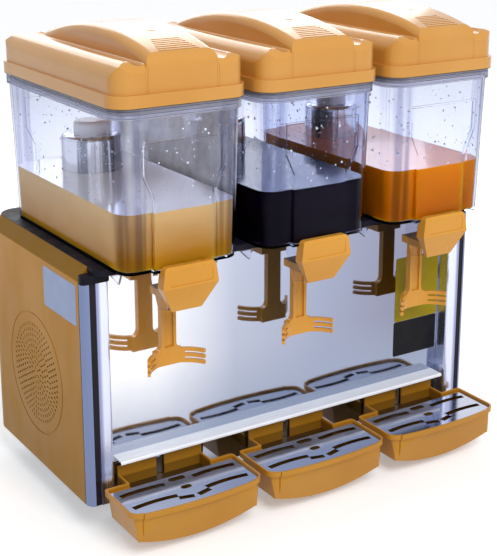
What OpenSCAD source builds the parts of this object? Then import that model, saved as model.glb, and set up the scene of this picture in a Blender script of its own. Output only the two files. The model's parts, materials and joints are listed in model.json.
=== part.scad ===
// Counter-top juice cooler with three clear bowls.
// Millimetres. X to the right, Y to the back, Z up from the surface it stands on.
// The origin is under the middle of the whole machine, trays included.

/* [Layout] */
// Spacing of the bowls, centre to centre
unit_pitch = 200; // [198:1:240]
// Cabinet width left of the first bowl's share and right of the last one's
side_margin = 10; // [6:1:40]
// Gap left between pieces that move past each other
clearance = 0.3; // [0.2:0.05:0.6]
// Radial gap of a pin or shaft in its hole
running_fit = 0.08; // [0.03:0.01:0.1]

/* [Cabinet] */
// Depth from the front panel to the back of the side panels
cabinet_d = 298; // [280:1:340]
// Height from the base pan to the underside of the deck
cabinet_h = 308; // [290:1:360]
// Height of the feet
foot_h = 40; // [36:1:60]
// Radius of a foot
foot_r = 16; // [12:1:22]
// Distance of a foot's centre from the cabinet's side
foot_inset_x = 60; // [40:1:100]
// Distance of a foot's centre from the cabinet's front or back
foot_inset_y = 75; // [50:1:100]
// Thickness of the moulded side panels
side_t = 3; // [2:0.5:5]
// Radius of the side panels' rear corners
side_bend_r = 40; // [30:1:60]
// Width of the side panels' sloped top edge
side_slope_w = 13; // [8:1:18]
// Height of the side panels' sloped top edge
side_slope_h = 18.4; // [12:0.2:24]
// How far the deck's top stands above the side panels
deck_lip = 0.6; // [0.4:0.1:2]
// Length of the side panels' returns on the back
side_return = 10; // [6:1:30]
// Thickness of the sheet steel panels
sheet_t = 1.2; // [0.8:0.1:2]
// How far the rear panel is set in from the back of the side panels
rear_recess = 7; // [6:0.5:9]
// Height of the base pan's upturned edges
pan_lip = 18; // [10:1:30]
// Radius of the base pan's corners behind the posts
pan_corner_r = 4; // [2:1:10]
// Thickness of the deck
deck_t = 8; // [6:1:14]
// How far the deck stands out past the front panel
deck_overhang = 36; // [24:1:40]
// Radius of the deck's front corners
deck_r = 15; // [6:1:30]
// Width of the notch that lets a tap lever pass when its bowl is lifted
notch_w = 56; // [52:1:70]
// Depth of that notch
notch_d = 18; // [16:1:20]

/* [Corner posts] */
// Width of a corner post
post_w = 36; // [28:1:44]
// How far a post stands out past the front panel
post_proud = 22; // [16:1:30]
// Depth of a post, front to back
post_d = 30; // [26:1:40]
// Radius of a post's outer front edge
post_r = 12; // [6:1:14]
// Radius of a post's inner front edge
post_inner_r = 5; // [2:1:8]
// Wall of the hollow post
post_t = 2.5; // [1.5:0.5:4]
// How far back the side panel starts behind the post's front
post_seam = 12; // [12:1:14]
// Width of the groove down a post
post_groove_w = 8.5; // [3:0.5:10]
// Depth of the groove down a post
post_groove_d = 1.4; // [0.6:0.1:2]
// Distance of the groove from the post's outer side
post_groove_x = 9; // [9:1:20]
// Height of a post's black cap
cap_h = 11; // [6:1:14]
// How far a cap stands out past its post
cap_over = 1.5; // [0:0.5:3]

/* [Vents] */
// Radius of the round vent in each side panel
vent_r = 69; // [40:1:90]
// Distance of the vent's centre behind the front panel
vent_y = 133; // [110:1:160]
// Height of the vent's centre above the base pan
vent_z = 130; // [100:1:180]
// Length of a vent slot, which points at the vent's centre
vent_slot_l = 4.4; // [3:0.1:6]
// Width of a vent slot
vent_slot_w = 2.4; // [1.5:0.1:3]
// Spacing of the rings of vent slots
vent_ring_pitch = 7.5; // [7:0.5:12]
// Spacing of the slots in a ring
vent_slot_pitch = 7.5; // [5:0.5:12]
// Distance of the groove round the vent from the vent's edge
groove_gap = 13; // [8:1:16]
// Width of that groove
groove_w = 2.4; // [1.5:0.1:4]
// Depth of that groove
groove_d = 0.7; // [0.4:0.1:1]
// Length of a louvre in the rear panel
louvre_l = 150; // [80:1:180]
// Height of a louvre in the rear panel
louvre_w = 5; // [3:0.5:8]
// Spacing of the louvres
louvre_pitch = 14; // [12:1:20]
// Number of louvres in a column
louvre_rows = 9; // [4:1:11]
// Height of the lowest louvre above the base pan
louvre_z = 70; // [60:1:80]

/* [Drip ledge and brackets] */
// Height of the ledge's top above the base pan
ledge_z = 53; // [50:1:80]
// How far the ledge stands out past the front panel
ledge_d = 25; // [20:1:38]
// Gap between the ledge's end and the post
ledge_end_gap = 8; // [2:1:20]
// Height of the ledge's turned-down front edge
ledge_hem = 4; // [3:1:8]
// Thickness of the ledge
ledge_t = 1.5; // [1:0.1:2.5]
// Width of a tray bracket
bracket_w = 60; // [40:1:90]
// Thickness of a tray bracket
bracket_t = 2; // [1.5:0.5:3]

/* [Bowl] */
// Width of a bowl's wall at the top
bowl_w = 176; // [150:1:182]
// Front wall of the bowl at the top, ahead of the front panel
bowl_front = 81; // [76:1:90]
// Depth of the bowl at the top
bowl_d = 337; // [320:1:340]
// Height of the bowl
bowl_h = 201; // [180:1:260]
// Slope of the bowl's walls, inwards from top to bottom
bowl_draft = 6; // [2:0.5:9]
// Wall of the bowl
bowl_t = 3; // [2:0.5:4]
// Radius of the bowl's upright corners
bowl_r = 28; // [20:1:36]
// Height of the flange round the bowl's top
flange_h = 13; // [8:1:18]
// How far the flange stands out
flange_out = 3; // [2:0.5:4]
// How far the front and rear panels of the bowl stand out
step_out = 4; // [2:0.5:5]
// Width of those panels at the top
step_w_top = 112; // [100:1:120]
// Width of those panels below their neck
step_w_low = 88; // [80:1:100]
// Height of the neck's lower end above the bowl's floor
step_neck_z = 94; // [70:1:110]
// Height over which the neck widens
step_neck_h = 26; // [10:1:40]
// Distance of those panels' top from the bowl's top
step_top_gap = 40; // [26:1:60]

/* [Lid] */
// How far the lid's rim stands out past the bowl's flange
lid_over = 1; // [0:0.5:2]
// Height of the lid's rim
lid_rim_h = 16; // [10:1:24]
// How far the lid's body is set in from its rim
lid_inset = 4; // [2:0.5:8]
// Height of the lid's shoulders above its rim
lid_shoulder_h = 37; // [26:1:50]
// Radius along the lid's shoulders
lid_shoulder_r = 20; // [8:1:26]
// Radius of the lid's upright corners
lid_r = 22; // [12:1:28]
// Width of the hump
hump_w = 95; // [80:1:120]
// Height of the hump above the shoulders
hump_h = 27; // [10:1:50]
// Radius along the hump's crown
hump_r = 480; // [400:10:900]
// Distance of the hump's peak behind the lid's front
hump_peak = 140; // [110:1:170]
// Radius along the hump's two top edges
hump_edge_r = 11; // [5:1:16]
// Radius of the hump's front top edge
hump_front_r = 22; // [6:1:24]
// Depth of the scoop on either side of the hump
scoop_depth = 5; // [1:0.5:8]
// Radius of the scoop on either side of the hump
scoop_r = 14; // [10:1:16]
// Wall of the lid
lid_t = 2.6; // [2:0.1:4]
// Depth of the lip that locates the lid in the bowl
lid_lip = 8; // [4:1:12]
// Radius of the shoulders' front top edge
lid_front_r = 15; // [6:1:16]
// Radius of the shoulders' back top edge
lid_back_r = 40; // [20:1:44]
// Radius of the crease on either side of the hump's front
crease_r = 2.2; // [1.5:0.1:4]
// Depth of that crease
crease_d = 1.2; // [0.6:0.1:1.6]
// Width of the lid's grille
grille_w = 54; // [30:1:80]
// Width of a grille slot
grille_slot = 2.6; // [1.5:0.1:3.5]
// Spacing of the grille slots
grille_pitch = 5.6; // [5:0.1:8]
// Number of grille slots
grille_rows = 7; // [3:1:9]
// How much shorter each grille slot is than the one ahead of it
grille_taper = 2.6; // [0:0.2:5]
// Distance of the grille's middle behind the lid's front
grille_y = 31; // [28:1:50]

/* [Cooling in the bowl] */
// Distance of the evaporator behind the front panel
evap_y = 172; // [150:1:180]
// Radius of the evaporator
evap_r = 39; // [30:1:44]
// Height of the evaporator above the deck
evap_h = 139; // [100:1:160]
// Radius of the raised disc on the evaporator's top
evap_disc_r = 22; // [16:1:28]
// Height of that disc
evap_disc_h = 18; // [8:1:24]
// Radius of the evaporator's foot
evap_foot_r = 58; // [54:1:62]
// Thickness of the evaporator's foot
evap_foot_t = 6; // [4:1:8]
// Width of the gasket between that foot and the bowl
gasket_w = 5.6; // [4:0.1:7]
// Height of the gasket
gasket_h = 5; // [4:0.5:7]
// Height of the agitator
agitator_h = 10; // [6:1:16]
// Number of agitator vanes
agitator_vanes = 6; // [3:1:8]

/* [Tap] */
// Distance of the spout ahead of the front panel
spout_y = 60; // [56:1:64]
// Radius of the spout's bore
spout_bore_r = 8; // [6:0.5:9]
// Wall of the spout
spout_t = 5; // [3:0.5:5]
// Length of the spout below the bowl
spout_l = 24; // [18:1:25]
// Distance of the lever's pivot ahead of the front panel
pivot_y = 74; // [72:1:76]
// Distance of the lever's pivot below the bowl
pivot_drop = 38; // [36:1:42]
// Radius of the lever's pivot pins
pivot_r = 3; // [2:0.5:4]
// Inside width between the tap's two cheeks
cheek_gap = 43; // [41:1:48]
// Thickness of a cheek
cheek_t = 3; // [2:0.5:4]
// Width of the tap cover at its top
cover_w_top = 71.4; // [66:0.2:76]
// Width of the tap cover at its crease
cover_w_mid = 77; // [72:1:84]
// Width of the tap cover at its bottom
cover_w_low = 41.5; // [36:0.5:56]
// Height of the cover's top above the bowl's floor
cover_rise = 8; // [4:1:14]
// Distance of the cover's crease below the bowl's floor
cover_crease = 19; // [16:1:24]
// Distance of the cover's bottom below the bowl's floor
cover_drop = 52; // [48:1:56]
// Wall of the tap cover
cover_t = 2.2; // [1.5:0.1:3]
// Distance of the cover's crease ahead of the front panel
cover_y = 94; // [92:1:98]
// How far the cover's face leans back from its crease to its bottom
cover_lean = 12; // [8:1:12]
// Depth of the cover below the bowl
cover_d = 15; // [14.5:0.5:16]
// Radius of the cover's upper corners
cover_r = 6; // [4:1:10]
// Width of the lever's stem
stem_w = 21; // [14:1:26]
// Thickness of the lever's stem
stem_t = 9; // [6:1:12]
// Distance of the stem ahead of the front panel
stem_y = 31; // [30:1:33]
// Height of the paddle's lower edge above the base pan
paddle_z = 175; // [160:1:200]
// Height of the paddle
paddle_h = 20; // [14:1:26]
// Radius that the paddle bends to, on its middle line
paddle_r = 44.5; // [42:0.5:60]
// Angle that the paddle spans
paddle_angle = 128; // [90:1:140]
// Thickness of the paddle
paddle_t = 4; // [3:0.5:6]
// Height of a slot between the paddle's fingers
finger_slot = 3; // [2:0.5:4]
// Angle that the fingers take up at each end of the paddle
finger_angle = 34; // [20:1:44]

/* [Tray] */
// Width of a drip tray at its rim
tray_w = 190; // [170:1:196]
// How far a tray reaches ahead of the front panel
tray_reach = 119; // [105:1:140]
// Distance of the tub's back wall ahead of the front panel
tray_back = 31; // [30:1:34]
// How far the tray's front bows out
tray_bow = 8; // [4:1:14]
// Height of a tray's rim above the base pan
tray_rim_z = 26; // [22:1:28]
// Depth of a tray at its middle
tray_depth = 58; // [44:1:60]
// Width that the tray's sides slope in, from rim to bottom
tray_draft = 9; // [4:1:16]
// Rise of the tray's round bottom from its middle to its sides
tray_belly = 15; // [6:1:20]
// Radius of the tray's upright corners
tray_r = 15; // [10:1:26]
// Wall of the tray
tray_t = 2.5; // [2:0.1:4]
// Height of the tray's rim band
tray_band = 7; // [7:1:10]
// How far the rim band stands out, which is also the shelf that carries the grid
tray_band_out = 3; // [2:0.5:4]
// Depth of the grid below the rim
grid_drop = 3; // [2:0.5:6]
// Thickness of the grid
grid_t = 1.5; // [1:0.1:2.5]
// Width of a grid slot
grid_slot = 8; // [3:0.5:9]
// Width of the tray's tongue
tongue_w = 124; // [100:1:140]
// Rise of the tongue's back wall above the rim
tongue_rise = 12; // [8:1:16]
// Drop of the tongue's floor below the rim
tongue_drop = 18; // [14:1:24]
// Width of the notch in the tongue's back wall
tongue_notch = 12; // [8:1:20]

/* [Inside the cabinet] */
// Radius of the compressor
compressor_r = 62; // [50:1:70]
// Height of the compressor
compressor_h = 165; // [120:1:180]
// Radius of the fan
fan_r = 76; // [50:1:80]
// Number of fan blades
fan_blades = 5; // [3:1:7]
// Width of a fan blade
fan_blade_w = 44; // [36:1:46]
// Radius of the fan's hub
fan_hub_r = 16; // [12:1:20]
// Length of the fan's hub
fan_hub_l = 16; // [12:1:20]
// Distance of the fan's axis behind the front panel
fan_back = 150; // [144:1:156]
// Distance of the fan's middle from the condenser
fan_gap = 26; // [20:1:32]
// Room between the fan's tips and the shroud's opening
shroud_gap = 6; // [4:1:8]
// Distance of the fan motor's bracket from the fan's middle
fan_motor_gap = 48; // [44:1:56]
// Radius of the fan motor
fan_can_r = 24; // [18:1:28]
// Length of the fan motor
fan_can_l = 30; // [20:1:32]
// Radius of the fan's and the thermostat's shafts
shaft_r = 3; // [2:0.5:4]
// Width of the condenser across the air stream
condenser_t = 34; // [24:1:40]
// Length of the condenser, front to back
condenser_l = 200; // [170:1:220]
// Height of the condenser
condenser_h = 205; // [175:1:230]
// Number of condenser fins
condenser_fins = 17; // [8:1:24]
// Radius of the refrigerant pipes
pipe_r = 4; // [3:0.5:5]
// Radius of a stirrer motor
motor_r = 27; // [20:1:30]
// Height of a stirrer motor
motor_h = 64; // [40:1:76]

/* [Controls on the back] */
// Width of a rocker
rocker_w = 13; // [10:1:18]
// Height of a rocker
rocker_h = 22; // [18:1:28]
// Radius of the thermostat knob
knob_r = 17; // [12:1:20]
// How far the knob stands out of the rear panel
knob_h = 5.5; // [4:0.5:6.5]
// Radius of the cord gland
gland_r = 9; // [7:1:12]
// Drop of the controls below the cabinet's slope
control_drop = 65; // [58:1:80]
// Place of the power rocker, from the middle line
power_x = -34; // [-38:1:-30]
// Place of the stirrer rocker, from the middle line
stir_x = -10; // [-14:1:-6]
// Place of the thermostat knob, from the middle line
knob_x = 26; // [20:1:32]
// Place of the cord gland, from the middle line
gland_x = 120; // [100:1:140]
// Height of the cord gland above the base pan
gland_lift = 40; // [24:1:60]
// Width of the control box
box_w = 120; // [110:1:140]
// Depth of the control box
box_d = 44; // [36:1:50]
// Height of the control box
box_h = 64; // [48:1:72]

/* [Hidden] */
$fn = 96;
SIDES = ["left", "middle", "right"];
UNIT_NODES = ["bowl", "bowl_gasket", "lid", "evaporator", "agitator", "stirrer_motor", "tap_cover",
    "tap_lever", "tap_valve", "tap_spring", "drip_tray", "drip_grid"];
CABINET_NODES = ["base_pan", "rubber_feet", "left_side_panel", "right_side_panel", "front_panel",
    "drip_ledge", "left_post", "right_post", "post_caps", "rear_panel", "deck", "tray_brackets",
    "compressor", "condenser", "fan_shroud", "fan_motor", "fan_blade", "refrigerant_pipes",
    "control_box", "power_rocker", "stir_rocker", "thermostat_knob", "cord_gland"];

amber = [0.86, 0.62, 0.32];
steel = [0.80, 0.81, 0.84];
black = [0.08, 0.08, 0.09];
clear = [0.85, 0.90, 0.95, 0.4];
grey = [0.55, 0.56, 0.58];
copper = [0.72, 0.45, 0.28];
white = [0.92, 0.92, 0.90];

// A cut runs this far past the faces that it opens
cut = 1;

// Main planes of the cabinet
cabinet_w = 3 * unit_pitch + 2 * side_margin;
half_w = cabinet_w / 2;
back_y = (cabinet_d + tray_reach) / 2;
panel_y = back_y - cabinet_d;
pan_z = foot_h;
deck_z = pan_z + cabinet_h;
bowl_z = deck_z + deck_t;
bowl_top = bowl_z + bowl_h;
slope_top = bowl_z - deck_lip;
slope_z = slope_top - side_slope_h;
post_top = deck_z - clearance - cap_h;
inner_half = half_w - side_t;
rear_sheet_y = back_y - rear_recess - sheet_t;

// Unit positions across the machine
function unit_x(i) = (i - 1) * unit_pitch;

// Bowl walls: front and back at the top
bowl_y0 = panel_y - bowl_front;
bowl_mid_y = bowl_y0 + bowl_d / 2;
flange_w = bowl_w + 2 * flange_out;
flange_d = bowl_d + 2 * flange_out;

// Tap places
spout_at = panel_y - spout_y;
pivot_at = panel_y - pivot_y;
pivot_z = bowl_z - pivot_drop;
stem_at = panel_y - stem_y;
arm_t = 5;
arm_h = 10;
arm_x = cheek_gap / 2 - 1;
lug_r = 3;
spring_r = 4;
spring_wire = 0.7;
spring_turns = 8;
spring_at = spout_at + spout_bore_r + spout_t + spring_r + 2;
bridge_top = pivot_z + arm_h / 2;
step_front = bowl_y0 + bowl_draft / 2 - step_out;
cover_back = panel_y - cover_y + cover_d;

// Tray heights and places
rim_z = pan_z + tray_rim_z;
tray_front = panel_y - tray_reach;
tub_back = panel_y - tray_back;
tray_d = tub_back - tray_front;
grid_z = rim_z - grid_drop;
tongue_floor = rim_z - tongue_drop;

// Fan axis, along X
fan_y = panel_y + fan_back;
fan_z = pan_z + sheet_t + condenser_h / 2;

// A rectangle with round corners, centred
module round_rect(w, d, r) {
    square([w - 2 * r, d], center = true);
    square([w, d - 2 * r], center = true);
    for (sx = [-1, 1], sy = [-1, 1])
        translate([sx * (w / 2 - r), sy * (d / 2 - r)]) circle(r);
}

// A rectangle from y0 to y1 with one radius at the front and another at the back
module deck_outline(w, y0, y1, r_front, r_back) {
    translate([-w / 2 + r_front, y0]) square([w - 2 * r_front, r_front]);
    translate([-w / 2, y0 + r_front]) square([w, y1 - y0 - r_front - r_back]);
    translate([-w / 2 + r_back, y1 - r_back]) square([w - 2 * r_back, r_back]);
    for (s = [-1, 1]) {
        translate([s * (w / 2 - r_front), y0 + r_front]) circle(r_front);
        translate([s * (w / 2 - r_back), y1 - r_back]) circle(r_back);
    }
}

// An outline in X and Z, drawn flat, set upright from y0 over a depth
module upright(y0, depth) {
    translate([0, y0 + depth, 0]) rotate([90, 0, 0]) linear_extrude(depth) children();
}

// An outline in Y and Z, drawn flat, set upright from x0 over a width
module sideways(x0, width) {
    translate([x0, 0, 0]) rotate([90, 0, 90]) linear_extrude(width) children();
}

// A slot with round ends, along X, centred
module slot(length, width) {
    square([length - width, width], center = true);
    for (s = [-1, 1]) translate([s * (length - width) / 2, 0]) circle(width / 2);
}

// A slice of a ring, its middle along +Y
module ring_slice(r, width, angle) {
    reach = 2 * (r + width);
    intersection() {
        difference() {
            circle(r + width / 2);
            circle(r - width / 2);
        }
        polygon([[0, 0], for (k = [-2:2]) reach * [sin(k * angle / 4), cos(k * angle / 4)]]);
    }
}

// Cabinet

// The pan's plan: between the posts in front, inside the side panels' round corners behind
module pan_plan(inset) {
    y0 = panel_y + sheet_t + clearance;
    y1 = back_y - side_t - clearance;
    post_back = panel_y - post_proud + post_d + clearance;
    w = 2 * (inner_half - clearance);
    w_front = 2 * (half_w - post_w - clearance);
    corner_r = side_bend_r - side_t - clearance;
    deck_outline(w - 2 * inset, post_back + inset, y1 - inset, pan_corner_r, corner_r - inset);
    translate([-w_front / 2 + inset, y0 + inset]) square([w_front - 2 * inset, (y1 - y0) / 2]);
}

module base_pan() {
    lip_end = back_y - side_bend_r;
    color(grey) {
        translate([0, 0, pan_z]) linear_extrude(sheet_t) pan_plan(0);
        // Upturned edges along the front and both sides
        translate([0, 0, pan_z]) linear_extrude(pan_lip) difference() {
            pan_plan(0);
            pan_plan(sheet_t);
            translate([-half_w, lip_end]) square([cabinet_w, side_bend_r]);
        }
    }
}

module rubber_feet() {
    bevel = 3;
    color(black) for (sx = [-1, 1], y = [panel_y + foot_inset_y, back_y - foot_inset_y])
        translate([sx * (half_w - foot_inset_x), y, 0]) rotate_extrude()
            polygon([[0, 0], [foot_r - bevel, 0], [foot_r, bevel], [foot_r - 2, foot_h], [0, foot_h]]);
}

// Wall of a side panel with its sloped top edge, outwards along +X from its outer face
module side_wall_profile() {
    polygon([
        [0, pan_z],
        [0, slope_z],
        [-side_slope_w, slope_top],
        [-side_slope_w, deck_z - side_t * 1.3],
        [-side_t, slope_z - side_t * 0.4],
        [-side_t, pan_z]
    ]);
}

// Rings of slots that point at the vent's centre, from the outermost ring inwards
module vent_slots() {
    rings = floor((vent_r - vent_slot_l) / vent_ring_pitch);
    for (ring = [0:rings]) {
        inner_r = vent_r - vent_slot_l - ring * vent_ring_pitch;
        count = floor(2 * PI * (inner_r + vent_slot_l / 2) / vent_slot_pitch);
        if (count > 2) for (k = [0:count - 1]) rotate((k + (ring % 2) / 2) * 360 / count)
            translate([inner_r, -vent_slot_w / 2]) square([vent_slot_l, vent_slot_w]);
    }
}

// Groove moulded into the panel round the vent
module vent_groove() {
    difference() {
        circle(vent_r + groove_gap + groove_w);
        circle(vent_r + groove_gap);
    }
}

module right_side_shell() {
    y0 = panel_y - post_proud + post_seam + clearance;
    y1 = back_y - side_bend_r;
    difference() {
        union() {
            translate([half_w, y1, 0]) rotate([90, 0, 0]) linear_extrude(y1 - y0) side_wall_profile();
            translate([half_w - side_bend_r, y1, 0]) rotate_extrude(angle = 90)
                translate([side_bend_r, 0]) side_wall_profile();
            translate([half_w - side_bend_r, back_y, 0]) rotate([90, 0, 90])
                mirror([0, 0, 1]) linear_extrude(side_return) side_wall_profile();
        }
        sideways(half_w - side_t - cut, side_t + 2 * cut)
            translate([panel_y + vent_y, pan_z + vent_z]) vent_slots();
        sideways(half_w - groove_d, groove_d + cut)
            translate([panel_y + vent_y, pan_z + vent_z]) vent_groove();
    }
}

module right_side_panel() {
    color(amber) right_side_shell();
}

module left_side_panel() {
    color(amber) mirror([1, 0, 0]) right_side_shell();
}

module front_panel() {
    w = 2 * (half_w - post_w - clearance);
    top_return = 12;
    color(steel) {
        translate([-w / 2, panel_y, pan_z]) cube([w, sheet_t, cabinet_h]);
        translate([-w / 2, panel_y, deck_z - sheet_t]) cube([w, top_return, sheet_t]);
    }
}

module drip_ledge() {
    w = 2 * (half_w - post_w - ledge_end_gap);
    top = pan_z + ledge_z;
    flange = 9;
    y1 = panel_y;
    y0 = panel_y - ledge_d;
    color(steel) sideways(-w / 2, w) polygon([
        [y1, top],
        [y0 + ledge_t, top],
        [y0, top - ledge_t],
        [y0, top - ledge_hem],
        [y0 + ledge_t, top - ledge_hem],
        [y0 + ledge_t, top - ledge_t],
        [y1 - ledge_t, top - ledge_t],
        [y1 - ledge_t, top - flange],
        [y1, top - flange]
    ]);
}

// Section of the right post, seen from above
module post_outline() {
    x0 = half_w - post_w;
    y0 = panel_y - post_proud;
    rebate = side_t + clearance;
    difference() {
        union() {
            translate([x0 + post_inner_r, y0]) square([post_w - post_inner_r - post_r, post_seam]);
            translate([x0, y0 + post_inner_r]) square([post_w - post_r, post_seam - post_inner_r]);
            translate([x0 + post_inner_r, y0 + post_inner_r]) circle(post_inner_r);
            intersection() {
                translate([half_w - post_r, y0 + post_r]) circle(post_r);
                translate([x0, y0]) square([post_w, post_seam]);
            }
            translate([x0, y0 + post_seam - cut]) square([post_w - rebate, post_d - post_seam + cut]);
        }
        translate([x0 + post_t, y0 + post_t + post_groove_d])
            square([post_w - rebate - 2 * post_t, post_d - 2 * post_t - post_groove_d]);
        translate([half_w - post_groove_x - post_groove_w, y0 - cut])
            square([post_groove_w, post_groove_d + cut]);
    }
}

module right_post_shape() {
    seam_y = panel_y - post_proud + post_seam;
    difference() {
        translate([0, 0, pan_z]) linear_extrude(post_top - pan_z) post_outline();
        // The part behind the seam stays under the side panel's slope
        translate([half_w - post_w - cut, seam_y, slope_z - side_t]) cube([post_w + 2 * cut, post_d, cap_h]);
    }
}

module right_post() {
    color(steel) right_post_shape();
}

module left_post() {
    color(steel) mirror([1, 0, 0]) right_post_shape();
}

module post_caps() {
    y0 = panel_y - post_proud - cap_over;
    y1 = panel_y - post_proud + post_seam;
    w = post_w + 2 * cap_over;
    color(black) for (s = [0, 1]) mirror([s, 0, 0])
        translate([half_w - post_w / 2, (y0 + y1) / 2, post_top]) linear_extrude(cap_h)
            round_rect(w, y1 - y0, 6);
}

// Heights of the controls on the rear panel
control_z = slope_z - control_drop;
gland_z = pan_z + gland_lift;
window_gap = 0.6;
gland_neck_r = gland_r - 3;

module rear_panel() {
    w = 2 * (half_w - side_bend_r - clearance);
    w_top = w - 2 * side_return;
    z0 = pan_z + sheet_t;
    hole_w = rocker_w + 2 * window_gap;
    hole_h = rocker_h + 2 * window_gap;
    y1 = rear_sheet_y + sheet_t;
    color(grey) difference() {
        union() {
            translate([-w / 2, rear_sheet_y, z0]) cube([w, sheet_t, slope_z - side_t - z0]);
            // Between the side panels' returns the sheet leans in to the deck's edge
            sideways(-w_top / 2, w_top) polygon([
                [rear_sheet_y, slope_z - 2 * side_t],
                [y1, slope_z - 2 * side_t],
                [y1, slope_z],
                [back_y - side_slope_w, deck_z],
                [back_y - side_slope_w - 2 * sheet_t, deck_z],
                [rear_sheet_y, slope_z]
            ]);
        }
        for (s = [-1, 1], k = [0:louvre_rows - 1])
            translate([s * w / 4, rear_sheet_y + sheet_t / 2, pan_z + louvre_z + k * louvre_pitch])
                rotate([90, 0, 0]) linear_extrude(sheet_t + 2 * cut, center = true) slot(louvre_l, louvre_w);
        for (x = [power_x, stir_x])
            translate([x - hole_w / 2, rear_sheet_y - cut, control_z - hole_h / 2])
                cube([hole_w, sheet_t + 2 * cut, hole_h]);
        translate([knob_x, rear_sheet_y - cut, control_z]) rotate([-90, 0, 0])
            cylinder(r = shaft_r + clearance, h = sheet_t + 2 * cut);
        translate([gland_x, rear_sheet_y - cut, gland_z]) rotate([-90, 0, 0])
            cylinder(r = gland_neck_r + clearance, h = sheet_t + 2 * cut);
    }
}

module deck() {
    w = 2 * (half_w - side_slope_w);
    drive_r = 12;
    color(black) difference() {
        translate([0, 0, deck_z]) linear_extrude(deck_t)
            deck_outline(w, panel_y - deck_overhang, back_y - side_slope_w, deck_r, side_bend_r - side_slope_w);
        for (i = [0:2]) {
            translate([unit_x(i) - notch_w / 2, panel_y - deck_overhang - cut, deck_z - cut])
                cube([notch_w, notch_d + cut, deck_t + 2 * cut]);
            translate([unit_x(i), panel_y + evap_y, deck_z - cut]) cylinder(r = drive_r, h = deck_t + 2 * cut);
            translate([unit_x(i), riser_y, deck_z - cut])
                cylinder(r = pipe_r + clearance, h = deck_t + 2 * cut);
        }
    }
}

module tray_brackets() {
    y1 = panel_y;
    y0 = tub_back + clearance;
    top = tongue_floor - clearance;
    tab_w = tongue_notch - 2;
    color(steel) for (i = [0:2]) translate([unit_x(i), 0, 0]) {
        translate([-bracket_w / 2, y0, top - bracket_t]) cube([bracket_w, y1 - y0, bracket_t]);
        translate([-bracket_w / 2, y1 - bracket_t, top - 16]) cube([bracket_w, bracket_t, 16]);
        translate([-tab_w / 2, y1 - bracket_t, top - bracket_t]) cube([tab_w, bracket_t, 28]);
    }
}

// Refrigeration inside the cabinet

riser_y = panel_y + evap_y + motor_r + 18;
compressor_x = unit_x(0) + 45;
compressor_y = riser_y - 27;
condenser_x1 = inner_half - 6;
condenser_x0 = condenser_x1 - condenser_t;
condenser_y0 = fan_y - condenser_l / 2;
condenser_z0 = pan_z + sheet_t;
header_z = deck_z - 30;
discharge_z = deck_z - motor_h - 20;
discharge_y = compressor_y - 27;

module compressor() {
    foot_gap = 14;
    z0 = pan_z + sheet_t;
    dome = 22;
    body_h = compressor_h - foot_gap;
    color(black) translate([compressor_x, compressor_y, z0]) {
        translate([0, 0, foot_gap]) rotate_extrude() difference() {
            union() {
                square([compressor_r - dome, body_h]);
                translate([0, dome]) square([compressor_r, body_h - 2 * dome]);
                for (z = [dome, body_h - dome]) translate([compressor_r - dome, z]) circle(dome);
            }
            translate([-2 * dome, -cut]) square([2 * dome, body_h + 2 * cut]);
        }
        translate([0, 0, foot_gap]) linear_extrude(4)
            round_rect(2 * compressor_r + 20, 2 * compressor_r - 20, 8);
        for (sx = [-1, 1], sy = [-1, 1])
            translate([sx * (compressor_r), sy * (compressor_r - 22), 0]) cylinder(r = 8, h = foot_gap);
    }
}

module condenser() {
    fin_t = 1.2;
    plate_t = 2;
    tube_r = 4.5;
    span = condenser_l - 2 * plate_t;
    color(grey) translate([condenser_x0, condenser_y0, condenser_z0]) {
        for (y = [0, condenser_l - plate_t]) translate([0, y, 0]) cube([condenser_t, plate_t, condenser_h]);
        for (k = [1:condenser_fins])
            translate([2, plate_t + k * span / (condenser_fins + 1) - fin_t / 2, 8])
                cube([condenser_t - 4, fin_t, condenser_h - 16]);
        for (k = [0:5]) translate([condenser_t / 2, 0, 20 + k * (condenser_h - 40) / 5])
            rotate([-90, 0, 0]) cylinder(r = tube_r, h = condenser_l);
    }
}

module fan_shroud() {
    plate_t = 1.5;
    opening = fan_r + shroud_gap;
    x0 = condenser_x0 - clearance - plate_t;
    color(grey) difference() {
        translate([x0, condenser_y0, condenser_z0]) cube([plate_t, condenser_l, condenser_h]);
        translate([x0 - cut, fan_y, fan_z]) rotate([0, 90, 0]) cylinder(r = opening, h = plate_t + 2 * cut);
    }
}

fan_x = condenser_x0 - fan_gap;
fan_motor_x = fan_x - fan_motor_gap;

module fan_motor() {
    plate_t = 2.5;
    plate_w = 2 * fan_can_r + 12;
    foot_l = fan_can_l;
    z0 = pan_z + sheet_t;
    color(grey) {
        translate([fan_motor_x, fan_y - plate_w / 2, z0]) cube([plate_t, plate_w, fan_z - z0 + fan_can_r]);
        translate([fan_motor_x - foot_l, fan_y - plate_w / 2, z0]) cube([foot_l + plate_t, plate_w, plate_t]);
        translate([fan_motor_x + plate_t, fan_y, fan_z]) rotate([0, 90, 0]) cylinder(r = fan_can_r, h = fan_can_l);
        translate([fan_motor_x + plate_t, fan_y, fan_z]) rotate([0, 90, 0])
            cylinder(r = shaft_r, h = fan_x + fan_hub_l / 2 - fan_motor_x - plate_t + 2);
    }
}

module fan_blade() {
    blade_t = 1.6;
    pitch = 28;
    color(black) translate([fan_x, fan_y, fan_z]) rotate([0, 90, 0]) difference() {
        union() {
            cylinder(r = fan_hub_r, h = fan_hub_l, center = true);
            intersection() {
                cylinder(r = fan_r, h = 2 * fan_hub_l, center = true);
                for (k = [0:fan_blades - 1]) rotate(k * 360 / fan_blades) rotate([pitch, 0, 0])
                    translate([0, -fan_blade_w / 2, -blade_t / 2]) cube([fan_r + cut, fan_blade_w, blade_t]);
            }
        }
        cylinder(r = shaft_r + running_fit, h = 4 * fan_hub_l, center = true);
    }
}

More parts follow.
